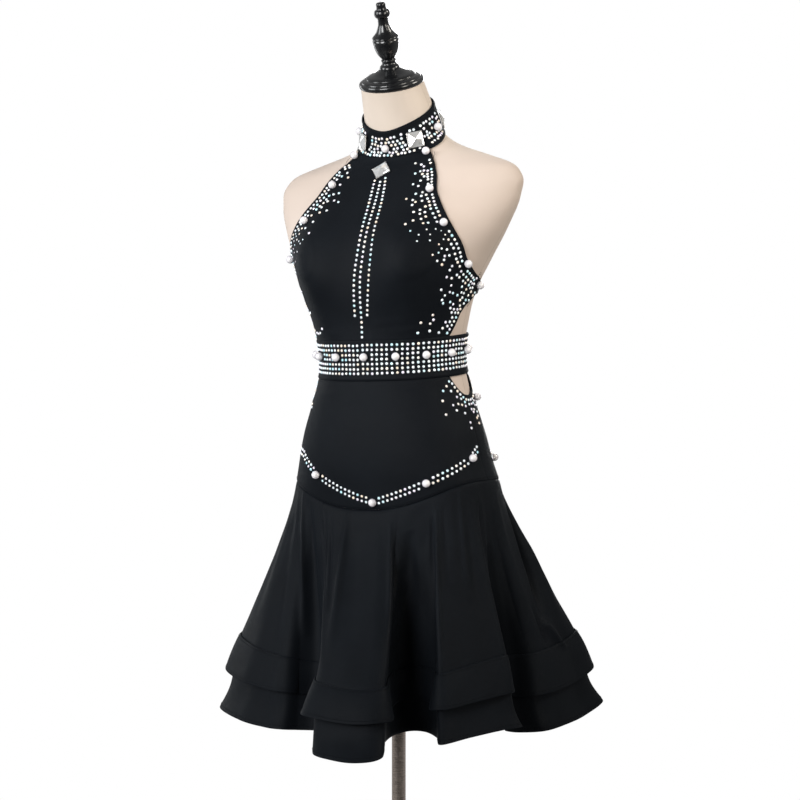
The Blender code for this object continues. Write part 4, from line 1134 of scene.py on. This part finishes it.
# Pearls, as (angle, level) on each panel; the collar's pearls and square crystals sit at a share of its
# width up from its lower edge. The stones keep clear of them.
BELT_PEARLS = [(2.7 + i * 24.0, 1.0715) for i in range(15)]
BODICE_PEARLS = [
    (36.5, 1.3680), (26.2, 1.3015), (41.6, 1.2533), (70.3, 1.1988), (95.6, 1.1680),
    (-37.5, 1.3690), (-21.3, 1.3163), (-31.8, 1.2640), (-53.0, 1.2133), (-95.6, 1.1680),
]
HIP_PEARLS = [
    (4.0, 0.8545), (37.0, 0.8843), (78.0, 0.9170), (-28.5, 0.8940), (-86.0, 0.9300),
    (121.0, 0.9120), (152.0, 0.8880), (180.0, 0.8720), (208.0, 0.8880), (239.0, 0.9120),
    (111.0, 1.0000), (249.0, 1.0000),
]
COLLAR_PEARLS = [
    (angle, float(collar_bottom(angle)) + COLLAR_WIDTH * share)
    for angle, share in ((0.0, 0.43), (85.0, 0.43), (-69.0, 0.55))
]
COLLAR_SQUARES = {
    side: (angle, float(collar_bottom(angle)) + COLLAR_WIDTH * 0.41) for side, angle in
    (("front_left", 42.0), ("front_right", -42.5), ("back_left", 116.0), ("back_right", -116.0))
}


def stone_material():
    """Foil-backed glass with a rainbow coating; each stone's tint comes from its own UV. Its glint is
    painted: the colour also glows faintly, and by view angle it shifts to painted reflection tints and
    darkens to painted shade at the rim.
    """
    # The emission is a painted glint: the stones glow a little in their own colours.
    made = new_material(
        "rhinestone", (0.9, 0.9, 0.92), 0.14, 0.1,
        Coat_Weight=1.0, Coat_Roughness=0.03, Emission_Strength=0.28
    )
    tree = made.node_tree
    uv = add_node(tree, "ShaderNodeUVMap", uv_map="cloth").outputs["UV"]
    tint = add_node(tree, "ShaderNodeSeparateXYZ", {0: uv}).outputs[0]
    colours = ramp(
        tree, tint, (0.00, (0.80, 0.83, 0.87)), (0.20, (0.95, 0.96, 0.98)), (0.30, (0.56, 0.86, 0.94)),
        (0.42, (0.95, 0.97, 0.98)), (0.56, (0.90, 0.80, 0.92)), (0.68, (0.97, 0.96, 0.95)),
        (0.82, (0.99, 0.80, 0.64)), (1.00, (0.93, 0.94, 0.95))
    )
    # Painted light by view angle: white where a stone faces the view, painted reflection tints as it turns
    # away, painted shade dark at its rim.
    glance = add_node(tree, "ShaderNodeLayerWeight", {"Blend": 0.35}).outputs["Facing"]
    painted_coating_tints_and_rim_shade = ramp(
        tree, glance, (0.0, (1.0, 1.0, 1.0)), (0.40, (0.86, 0.97, 1.0)), (0.70, (0.80, 0.62, 0.72)),
        (1.0, (0.42, 0.50, 0.50))
    )
    # The tints times the view-angle colours; the result also feeds the emission, which paints a glint as a
    # faint glow.
    colour_and_painted_glow = mixed(tree, 1.0, colours, painted_coating_tints_and_rim_shade, "MULTIPLY")
    feed(made, "Base Color", colour_and_painted_glow)
    feed(made, "Emission Color", colour_and_painted_glow)
    return made


def stone_shape():
    """A flat-backed cut stone of radius 1: girdle, eight crown facets and a table."""
    shape, faces = [], [tuple(range(16, 24))]
    for radius, height, shift in ((1.0, 0.0, 0.0), (1.0, 0.22, 0.0), (0.52, 0.72, 0.5)):
        for side in range(8):
            turn = (side + shift) * math.tau / 8
            shape.append((radius * math.cos(turn), radius * math.sin(turn), height))
    for side in range(8):
        after = (side + 1) % 8
        faces.append((side, after, 8 + after, 8 + side))
        faces.append((8 + side, 8 + after, 16 + side))
        faces.append((8 + after, 16 + after, 16 + side))
    return np.array(shape), faces


stone, STONE_SHAPE = stone_material(), stone_shape()


def stones(name, angle, level, out, seed):
    """Rhinestones at these places on the body; out is the cloth's outside there."""
    dice = np.random.default_rng(seed)
    along, up, outward = skin_frame(angle, level)
    lean = dice.normal(0.0, 0.045, (len(angle), 2))
    outward = unit(outward + along * lean[:, :1] + up * lean[:, 1:])
    spin = dice.uniform(0.0, math.tau / 8, len(angle))[:, None]
    first = unit(np.cos(spin) * along + np.sin(spin) * up)
    sizes = STONE / 2 * dice.uniform(0.94, 1.05, (len(angle), 1))
    axes, middles = (first, np.cross(outward, first), outward), over_skin(angle, level, out)
    tints = dice.uniform(0.0, 1.0, len(angle))
    fit(scattered(name, *STONE_SHAPE, middles, axes, sizes, stone, tints, flat=True), "rhinestone")


def clear_of(angle, level, places, reach):
    """Which places are further than reach along the cloth from all of the given ones."""
    points, others = skin(angle, level), skin(*np.array(list(places)).T)
    return np.linalg.norm(points[:, None] - others[None], axis=-1).min(1) > reach


def thinned(angle, level, least=0.0054):
    """The places with each one left out that comes nearer than least to an earlier one."""
    points, kept = skin(angle, level), []
    for i, point in enumerate(points):
        if not kept or np.linalg.norm(points[kept] - point, axis=1).min() >= least:
            kept.append(i)
    return angle[kept], level[kept]


def spaced(angle, level, pitch=STONE_PITCH, start=0.0, dice=None, share=1.0, jitter=0.0):
    """Places at an even pitch along a line; dice leave out all but a share of them, and shift them."""
    run = run_along(skin(angle, level))
    at = np.arange(start, run[-1], pitch)
    if dice is not None:
        full = share if np.ndim(share) == 0 else np.interp(at, run, share)
        at = at[dice.uniform(0.0, 1.0, len(at)) < full]
        at = at + dice.normal(0.0, jitter, len(at))
    angle, level = np.interp(at, run, angle), np.interp(at, run, level)
    if dice is not None:
        angle = angle + dice.normal(0.0, jitter, len(at)) / metres_round(angle, level)
        level = level + dice.normal(0.0, jitter, len(at))
    return angle, level


def gathered(lines):
    """Lists of angles and of levels, each joined into one."""
    return tuple(np.concatenate(column) for column in zip(*lines))


# The belt's stones: the rows, their pitch and the middle one's level; then the columns' pitch in the
# wearer's left block, past the angle where it closes up, and in the right block, which lies a little lower.
BELT_ROWS, BELT_ROW_PITCH, BELT_MIDDLE = 7, 0.0067, 1.0682
LEFT_PITCH, LEFT_SIDE_PITCH, CLOSER_FROM, RIGHT_PITCH, RIGHT_DROP = 0.0074, 0.0065, 55.0, 0.0069, 0.0006
LEFT_BLOCK, RIGHT_BLOCK = (1.2, 180.0), (-2.6, -176.0)   # the first and the last angle of each
PITCH_LEVEL = 1.066                                      # where the columns have just that pitch


def belt_stones():
    """Seven rows all round, in two blocks whose columns meet at the middle of the front."""
    columns = [LEFT_BLOCK[0]]
    while columns[-1] < LEFT_BLOCK[1]:
        pitch = LEFT_SIDE_PITCH if columns[-1] > CLOSER_FROM else LEFT_PITCH
        columns.append(columns[-1] + pitch / metres_round(columns[-1], PITCH_LEVEL))
    columns.append(RIGHT_BLOCK[0])
    while columns[-1] > RIGHT_BLOCK[1]:
        columns.append(columns[-1] - RIGHT_PITCH / metres_round(columns[-1], PITCH_LEVEL))
    angle, row = (grid.ravel() for grid in np.meshgrid(columns, np.arange(BELT_ROWS)))
    dice = np.random.default_rng(21)
    level = BELT_MIDDLE + BELT_ROW_PITCH * (BELT_ROWS // 2 - row) - np.where(angle < 0, RIGHT_DROP, 0.0)
    angle = angle + dice.normal(0.0, 0.08, angle.shape)
    level = level + dice.normal(0.0, 0.00018, angle.shape)
    keep = clear_of(angle, level, BELT_PEARLS, PEARL_RADIUS + 0.0012)
    return angle[keep], level[keep]


COLLAR_STONE_ROWS, COLLAR_PITCH = (0.0050, 0.0108, 0.0166, 0.0224, 0.0282, 0.0338), 0.0058


def collar_stones():
    """Six staggered rows on the lower part of the neckband, close round the square crystals."""
    dice = np.random.default_rng(31)
    around = np.linspace(0.0, 359.0, 500)
    lines = []
    for row, rise in enumerate(COLLAR_STONE_ROWS):
        start = row % 2 * COLLAR_PITCH / 2
        lines.append(spaced(around, collar_bottom(around) + rise, COLLAR_PITCH, start, dice, jitter=0.0005))
    angle, level = gathered(lines)
    keep = clear_of(angle, level, COLLAR_PEARLS, PEARL_RADIUS + 0.0014)
    for square_angle, square_level in COLLAR_SQUARES.values():
        aside = np.abs((angle - square_angle + 180.0) % 360.0 - 180.0) * metres_round(angle, level)
        keep &= np.maximum(aside, np.abs(level - square_level)) > 0.0140
    return thinned(angle[keep], level[keep], 0.0047)


# How full each row of a scatter is, from the edge inwards; the wearer's right side is fuller than the left.
ARMHOLE_ROWS = (1.0, 1.0, 0.90, 0.62, 0.40, 0.20, 0.12)
LEFT_SIDE_ROWS = (1.0, 0.95, 0.75, 0.50, 0.38, 0.30, 0.22, 0.16)
RIGHT_SIDE_ROWS = (1.0, 0.95, 0.90, 0.85, 0.80, 0.75, 0.60, 0.40, 0.20)
SCOOP_ROWS = (1.0, 1.0, 0.85, 0.62, 0.45, 0.30, 0.20, 0.10)
SIDE_FROM_BELOW = (Edge(1.0505, 57.5), *SIDE_EDGE)            # the side edge carried on behind the belt
FAN_SPACING = 0.052
# Three lines run down from the square crystal, each as (level, angle) marks.
BODICE_LINES = (
    ((1.1300, -2.6), (1.1715, -1.4), (1.2465, 0.4), (1.3250, -2.0)),
    ((1.0995, 0.9), (1.1710, 1.8), (1.2460, 3.2), (1.3230, 0.4)),
    ((1.1305, 5.5), (1.1725, 7.6), (1.2465, 7.2), (1.3300, 1.9)),
)


def edge_scatter(edges, seed, shares):
    """Stones beside an open edge: full rows next to it, then fewer and fewer further in, gathered in
    fans; shares is how full each row is."""
    dice = np.random.default_rng(seed)
    lines = []
    for row, share in enumerate(shares):
        angle, level = inward(*edge_line(edges, 300), 0.0070 + row * ROW_STEP)
        run = run_along(skin(angle, level))
        fan = 0.5 + 0.5 * np.sin(run / FAN_SPACING * math.tau + dice.uniform(0, math.tau))
        full = share + (1.0 - share) * 0.28 * fan * (share < 0.95)
        pitch, start = 0.0066 + 0.0007 * row, 0.0030 + 0.0034 * (row % 2)
        lines.append(spaced(angle, level, pitch, start, dice, full, 0.0002 + LOOSER * row))
    return gathered(lines)


def bodice_stones():
    """Along the armholes and sides, and three lines that run down from the square crystal."""
    lines = []
    for seed, way, side_rows in ((41, 1.0, LEFT_SIDE_ROWS), (42, -1.0, RIGHT_SIDE_ROWS)):
        for edges, dice_seed, rows in (
            (ARMHOLE_EDGE, seed, ARMHOLE_ROWS), (SIDE_FROM_BELOW, seed + 2, side_rows)
        ):
            angle, level = edge_scatter(edges, dice_seed, rows)
            lines.append((way * angle, level))
    angle, level = gathered(lines)
    inside = (np.abs(angle) < bodice_edge(level) - 2.0) & (level < collar_bottom(angle) - 0.006)
    inside &= (level > BELT_TOP + 0.004) & (np.abs(angle) > 9.0)
    inside &= clear_of(angle, level, BODICE_PEARLS, PEARL_RADIUS + 0.0020)
    lines = [thinned(angle[inside], level[inside])]
    for marks in BODICE_LINES:
        level = np.linspace(marks[0][0], marks[-1][0], 400)
        lines.append(spaced(through(*zip(*marks), level), level))
    return gathered(lines)


# Both V shapes run through their pearls: in front nearly to the side seams, and behind short of them.
FRONT_V = [(-84.0, 0.9330), (-49.6, 0.9245), *sorted(HIP_PEARLS[:4]), (88.0, 0.9290)]
BACK_V = [(110.0, 0.9190), *HIP_PEARLS[5:10], (250.0, 0.9190)]
V_HALF = STONE_PITCH / 2                  # from the middle of the double row to each of its rows


def hip_stones():
    """A double row in a V on the front and on the back, and a scatter round each side scoop."""
    lines = []
    for marks in (FRONT_V, BACK_V):
        line = np.linspace(marks[0][0], marks[-1][0], 900)
        middle = np.interp(line, *zip(*marks))
        lines += [spaced(line, middle + side, start=V_HALF) for side in (-V_HALF, V_HALF)]
    for seed, way in ((51, 1.0), (52, -1.0)):
        dice = np.random.default_rng(seed)
        for row, share in enumerate(SCOOP_ROWS):
            first = SCOOP_MIDDLE - SCOOP_HALF - 6.5 - 1.8 * row
            line = np.linspace(first, SCOOP_MIDDLE + SCOOP_BACK_HALF, 200)
            share = share * np.clip(0.5 + (line - first) / 14.0, 0.0, 1.0)
            level = hip_top(line) - 0.0075 - row * ROW_STEP
            start, jitter = 0.0034 * (row % 2), 0.0002 + LOOSER * row
            angle, level = spaced(line, level, 0.0068, start, dice, share, jitter)
            lines.append((way * angle, level))
    angle, level = gathered(lines)
    keep = clear_of(angle, level, HIP_PEARLS, PEARL_RADIUS + 0.0014)
    keep &= (level < hip_top(angle) - 0.005) & (np.abs(np.abs(angle) - 90.0) > 0.8)
    return thinned(angle[keep], level[keep])


stones("belt_rhinestones", *belt_stones(), CLOTH_GAP + BAND - PLY, 22)
stones("collar_rhinestones", *collar_stones(), CLOTH_GAP + BAND - PLY, 32)
stones("bodice_rhinestones", *bodice_stones(), CLOTH_GAP + CLOTH - PLY, 43)
hip_angle, hip_level = hip_stones()
hip_share = (hip_level - drop_seam(hip_angle)) / (hip_top(hip_angle) - drop_seam(hip_angle))
stones("hip_rhinestones", hip_angle, hip_level, CLOTH_GAP + CLOTH - PLY + hip_lift(hip_share), 53)

# ==================================================================================================
# Pearls: 12 mm white plastic beads with a pearl coating, sewn on through a hole from side to side.
# Each is pulled a little into the stretch cloth.
# ==================================================================================================
PEARL_PROUD = 0.68                        # how far a bead's middle stands off the cloth, in its radii


def pearl_material():
    """The pearl coating, with painted light and shade: bright and warm where it faces the view, greyer
    towards the rim as painted shade, and a little cloudy.
    """
    made = new_material("pearl coating", (0.90, 0.88, 0.90), 0.20, Coat_Weight=1.0, Coat_Roughness=0.04)
    tree = made.node_tree
    # Painted light and shade by view angle: bright where the bead faces the view, painted shade grey at its
    # rim.
    glance = add_node(tree, "ShaderNodeLayerWeight", {"Blend": 0.45}).outputs["Facing"]
    painted_lustre_and_rim_shade = ramp(
        tree, glance, (0.0, (1.0, 0.98, 0.99)), (0.40, (0.92, 0.89, 0.94)), (0.65, (0.62, 0.59, 0.66)),
        (1.0, (0.42, 0.42, 0.47))
    )
    patchy = place_group(tree, PATCHY, Patch_size=0.006, Speck_size=0.001)
    clouds = ramp(tree, patchy["Patches"], (0.3, (0.93, 0.92, 0.94)), (0.7, (1.0, 1.0, 0.98)))
    feed(made, "Base Color", mixed(tree, 1.0, painted_lustre_and_rim_shade, clouds, "MULTIPLY"))
    bump_from(made, patchy["Specks"], 0.00003, 0.4)
    return made


def pearl_shape():
    """A bead of radius 1 with the dimple of its hole at each side."""
    shape, faces, rings, columns = [], [], 18, 24
    for ring in range(rings + 1):
        turn = math.pi * (0.05 + 0.90 * ring / rings)
        for column in range(columns):
            around, girth = column * math.tau / columns, math.sin(turn)
            shape.append((-math.cos(turn), girth * math.cos(around), girth * math.sin(around)))
            if ring:
                now, after = ring * columns + column, ring * columns + (column + 1) % columns
                faces.append((now - columns, now, after, after - columns))
    for end, first in ((-0.82, 0), (0.82, rings * columns)):
        shape.append((end, 0.0, 0.0))
        for column in range(columns):
            pair = (first + column, first + (column + 1) % columns)
            faces.append((len(shape) - 1, *(pair if end < 0 else pair[::-1])))
    return np.array(shape), faces


pearl, PEARL_SHAPE = pearl_material(), pearl_shape()
for piece_name, places, out in (
    ("belt_pearls", BELT_PEARLS, BAND), ("collar_pearls", COLLAR_PEARLS, BAND),
    ("bodice_pearls", BODICE_PEARLS, CLOTH), ("hip_pearls", HIP_PEARLS, CLOTH),
):
    places = np.array(places).T
    middles = over_skin(*places, CLOTH_GAP + out + PEARL_RADIUS * PEARL_PROUD)
    sizes = np.full((len(middles), 1), PEARL_RADIUS)
    fit(scattered(piece_name, *PEARL_SHAPE, middles, skin_frame(*places), sizes, pearl), "pearl")

# ==================================================================================================
# Square crystals: cut glass over silver foil, 23.5 mm, each held by a thin metal setting with a claw
# at every corner. Four sit on the neckband and one on the bodice, nearly on its corner.
# ==================================================================================================
SQUARE_SIDE, SQUARE_HEIGHT = 0.0235, 0.0052
STONE_IN_SETTING = 0.94                   # the glass's own share of the side
SQUARE_GAP = 0.0003                       # left under the flat back
BODICE_SQUARE, BODICE_SQUARE_TURN = (-0.7, 1.3384), math.radians(37.0)


def crystal_material():
    """Clear glass over foil: bright, with painted patches of more and less light that stand in for the
    facets catching it.
    """
    made = new_material(
        "square crystal", (0.80, 0.80, 0.80), 0.10, 0.55, Coat_Weight=1.0, Coat_Roughness=0.02
    )
    tree = made.node_tree
    patches = place_group(tree, PATCHY, Patch_size=0.005, Speck_size=0.0008)["Patches"]
    # Painted light: random brighter and darker patches stand in for the facets' reflections.
    feed(made, "Base Color", ramp(
        tree, patches, (0.35, (0.70, 0.70, 0.69)), (0.5, (0.92, 0.92, 0.91)), (0.65, (0.82, 0.83, 0.84))
    ))
    return made


def crystal_shape():
    """A square cut stone of side 1 and height 1: eight facets that meet in the middle, in four pairs,
    over a narrow step round the girdle."""
    shape, faces = [], [(3, 2, 1, 0)]
    for half, height in ((0.5, 0.0), (0.5, 0.30), (0.43, 0.50)):
        for corner in range(4):
            turn, reach = (corner + 0.5) * math.tau / 4, half * math.sqrt(2)
            shape.append((reach * math.cos(turn), reach * math.sin(turn), height))
    for side in range(4):
        turn = (side + 1) * math.tau / 4
        shape.append((0.43 * math.cos(turn), 0.43 * math.sin(turn), 0.36))
    shape.append((0.0, 0.0, 1.0))
    for corner in range(4):
        after, middle, top = (corner + 1) % 4, 12 + corner, 16
        faces += [
            (corner, after, 4 + after, 4 + corner), (4 + corner, 4 + after, middle),
            (4 + corner, middle, 8 + corner), (4 + after, 8 + after, middle),
            (8 + corner, middle, top), (middle, 8 + after, top),
        ]
    return np.array(shape), faces


def setting_shape():
    """The setting's band round the girdle and its four corner claws, for a stone of side 1."""
    shape, faces = [], []

    def block(low, high, turn):
        first, along, aside = len(shape), math.cos(turn), math.sin(turn)
        for x, y, z in product(*zip(low, high)):
            shape.append((x * along - y * aside, x * aside + y * along, z))
        for face in ((0, 1, 3, 2), (4, 6, 7, 5), (0, 4, 5, 1), (2, 3, 7, 6), (0, 2, 6, 4), (1, 5, 7, 3)):
            faces.append(tuple(first + corner for corner in face))

    for side in range(4):
        block((-0.53, 0.495, -0.04), (0.53, 0.53, 0.30), side * math.tau / 4)
        block((0.60, -0.045, 0.00), (0.735, 0.045, 0.46), (side + 0.5) * math.tau / 4)
    return np.array(shape), faces


def setting_material():
    """Silver-coloured metal, duller where it is worn."""
    made = new_material("silver setting", (0.70, 0.69, 0.67), 0.22, 1.0)
    worn = add_node(made.node_tree, "ShaderNodeTexNoise", {"Scale": 320.0, "Detail": 3.0}).outputs["Fac"]
    feed(made, "Roughness", mapped(made.node_tree, worn, 0.14, 0.36))
    return made


crystal, setting_metal = crystal_material(), setting_material()


def square_crystal(name, node, place, out, spin=0.0):
    """A square crystal in its setting, as low on the cloth as its flat back allows."""
    angle, level = place
    along, up, outward = (axis.reshape(3) for axis in skin_frame(angle, level))
    cloth = over_skin(angle, level, out).reshape(3)
    reach = SQUARE_SIDE * 0.62
    turn = math.degrees(reach / math.hypot(cloth[0], cloth[1]))
    near_angle, near_level = np.meshgrid(angle + turn * np.arange(-1, 2), level + reach * np.arange(-1, 2))
    rise = float(((over_skin(near_angle, near_level, out) - cloth) @ outward).max())
    first = along * math.cos(spin) + up * math.sin(spin)
    axes = [axis[None, :] for axis in (first, np.cross(outward, first), outward)]
    middle = (cloth + outward * (rise + SQUARE_GAP))[None, :]
    side = SQUARE_SIDE * STONE_IN_SETTING
    sizes = np.array([[side, side, SQUARE_HEIGHT]])
    fit(scattered(name, *crystal_shape(), middle, axes, sizes, crystal, flat=True), "crystal", node)
    claws = scattered(name + "_setting", *setting_shape(), middle, axes, sizes, setting_metal, flat=True)
    soften = claws.modifiers.new("Rounded claws", "BEVEL")
    soften.width, soften.segments = 0.0002, 2
    fit(claws, "crystal")


for side, place in COLLAR_SQUARES.items():
    square_crystal("square_" + side, "collar_crystal_" + side, place, CLOTH_GAP + BAND)
square_crystal("square_bodice", "bodice_crystal", BODICE_SQUARE, CLOTH_GAP + CLOTH, BODICE_SQUARE_TURN)

# ==================================================================================================
# Floor and light: a round pale floor, a white surround, and soft boxes in front, to both sides and
# behind, so that the black cloth shows its folds. Those with a narrow spread aim at the upper half.
# ==================================================================================================
FLOOR_RADIUS, FLOOR_THICKNESS = 1.85, 0.02
NARROW, HIGH_AIM, LOW_AIM = 90.0, 1.28, 1.05   # a narrow spread in degrees, and where boxes point
SURROUND_FRONT = (0.5, -0.866, 0.0)       # the side on which the surround is dark to gloss


def pale_floor():
    """The floor, in plain card with faint clouds."""
    made = new_material("pale floor", (0.80, 0.80, 0.79), 0.7)
    tree = made.node_tree
    patches = place_group(tree, PATCHY, Patch_size=0.6, Speck_size=0.01)["Patches"]
    feed(made, "Base Color", ramp(tree, patches, (0.3, (0.79, 0.79, 0.78)), (0.7, (0.83, 0.83, 0.82))))
    rows = np.array(((FLOOR_RADIUS, -FLOOR_THICKNESS), (FLOOR_RADIUS, 0.0), (0.0, 0.0)))
    floor = link_mesh("floor", spun(rows, 160), grid_faces(3, 160, wrap=True), made)
    floor.data.validate()


pale_floor()

SoftBox = namedtuple("SoftBox", "name azimuth distance height size power tint spread", defaults=(180.0,))
COOL, PLAIN, WARM = (0.96, 0.99, 1.0), (1.0, 1.0, 1.0), (1.0, 0.95, 0.86)
for box in (
    SoftBox("front", -2.0, 2.6, 1.65, (1.1, 1.5), 7.8, PLAIN, 60.0),
    SoftBox("left", -45.0, 2.6, 1.95, (1.1, 2.2), 7.4, COOL, 60.0),
    SoftBox("right", 72.0, 2.6, 1.6, (0.9, 1.4), 2.7, WARM, 50.0),
    SoftBox("high_right", 110.0, 2.4, 2.9, (0.8, 1.2), 4.1, WARM, 50.0),
    SoftBox("left_rim", -110.0, 2.2, 1.5, (0.5, 1.9), 6.0, COOL),
    SoftBox("back", 200.0, 2.4, 1.8, (1.2, 1.8), 40.0, PLAIN),
):
    light_data = bpy.data.lights.new(box.name, "AREA")
    light_data.shape = "RECTANGLE"
    light_data.size, light_data.size_y = box.size
    light_data.energy, light_data.color = box.power, box.tint
    light_data.spread = math.radians(box.spread)
    light = bpy.data.objects.new(box.name, light_data)
    turn = math.radians(box.azimuth)
    light.location = (box.distance * math.sin(turn), -box.distance * math.cos(turn), box.height)
    aim = Vector((0.0, 0.0, HIGH_AIM if box.spread < NARROW else LOW_AIM)) - light.location
    light.rotation_euler = aim.to_track_quat("-Z", "Y").to_euler()
    bpy.context.scene.collection.objects.link(light)


def studio_surround():
    """White to the camera and dark to all else but gloss, which finds it grey at the sides and behind,
    and dark in front."""
    world = bpy.data.worlds.new("studio")
    world.use_nodes = True
    tree = world.node_tree
    paths = add_node(tree, "ShaderNodeLightPath").outputs
    plain = mapped(tree, paths["Is Camera Ray"], 0.04, 1.0)
    ways = {0: add_node(tree, "ShaderNodeTexCoord").outputs["Generated"], 1: SURROUND_FRONT}
    ahead = add_node(tree, "ShaderNodeVectorMath", ways, operation="DOT_PRODUCT").outputs["Value"]
    gloss = mapped(tree, ahead, 0.26, 0.03, From_Min=-0.2, From_Max=0.7)
    strength = maths(tree, "MULTIPLY_ADD", paths["Is Glossy Ray"], gloss, plain)
    background = tree.nodes["Background"]
    background.inputs["Color"].default_value = (1.0, 1.0, 1.0, 1.0)
    tree.links.new(strength, background.inputs["Strength"])
    bpy.context.scene.world = world


studio_surround()
bpy.context.scene.view_settings.view_transform = "Standard"
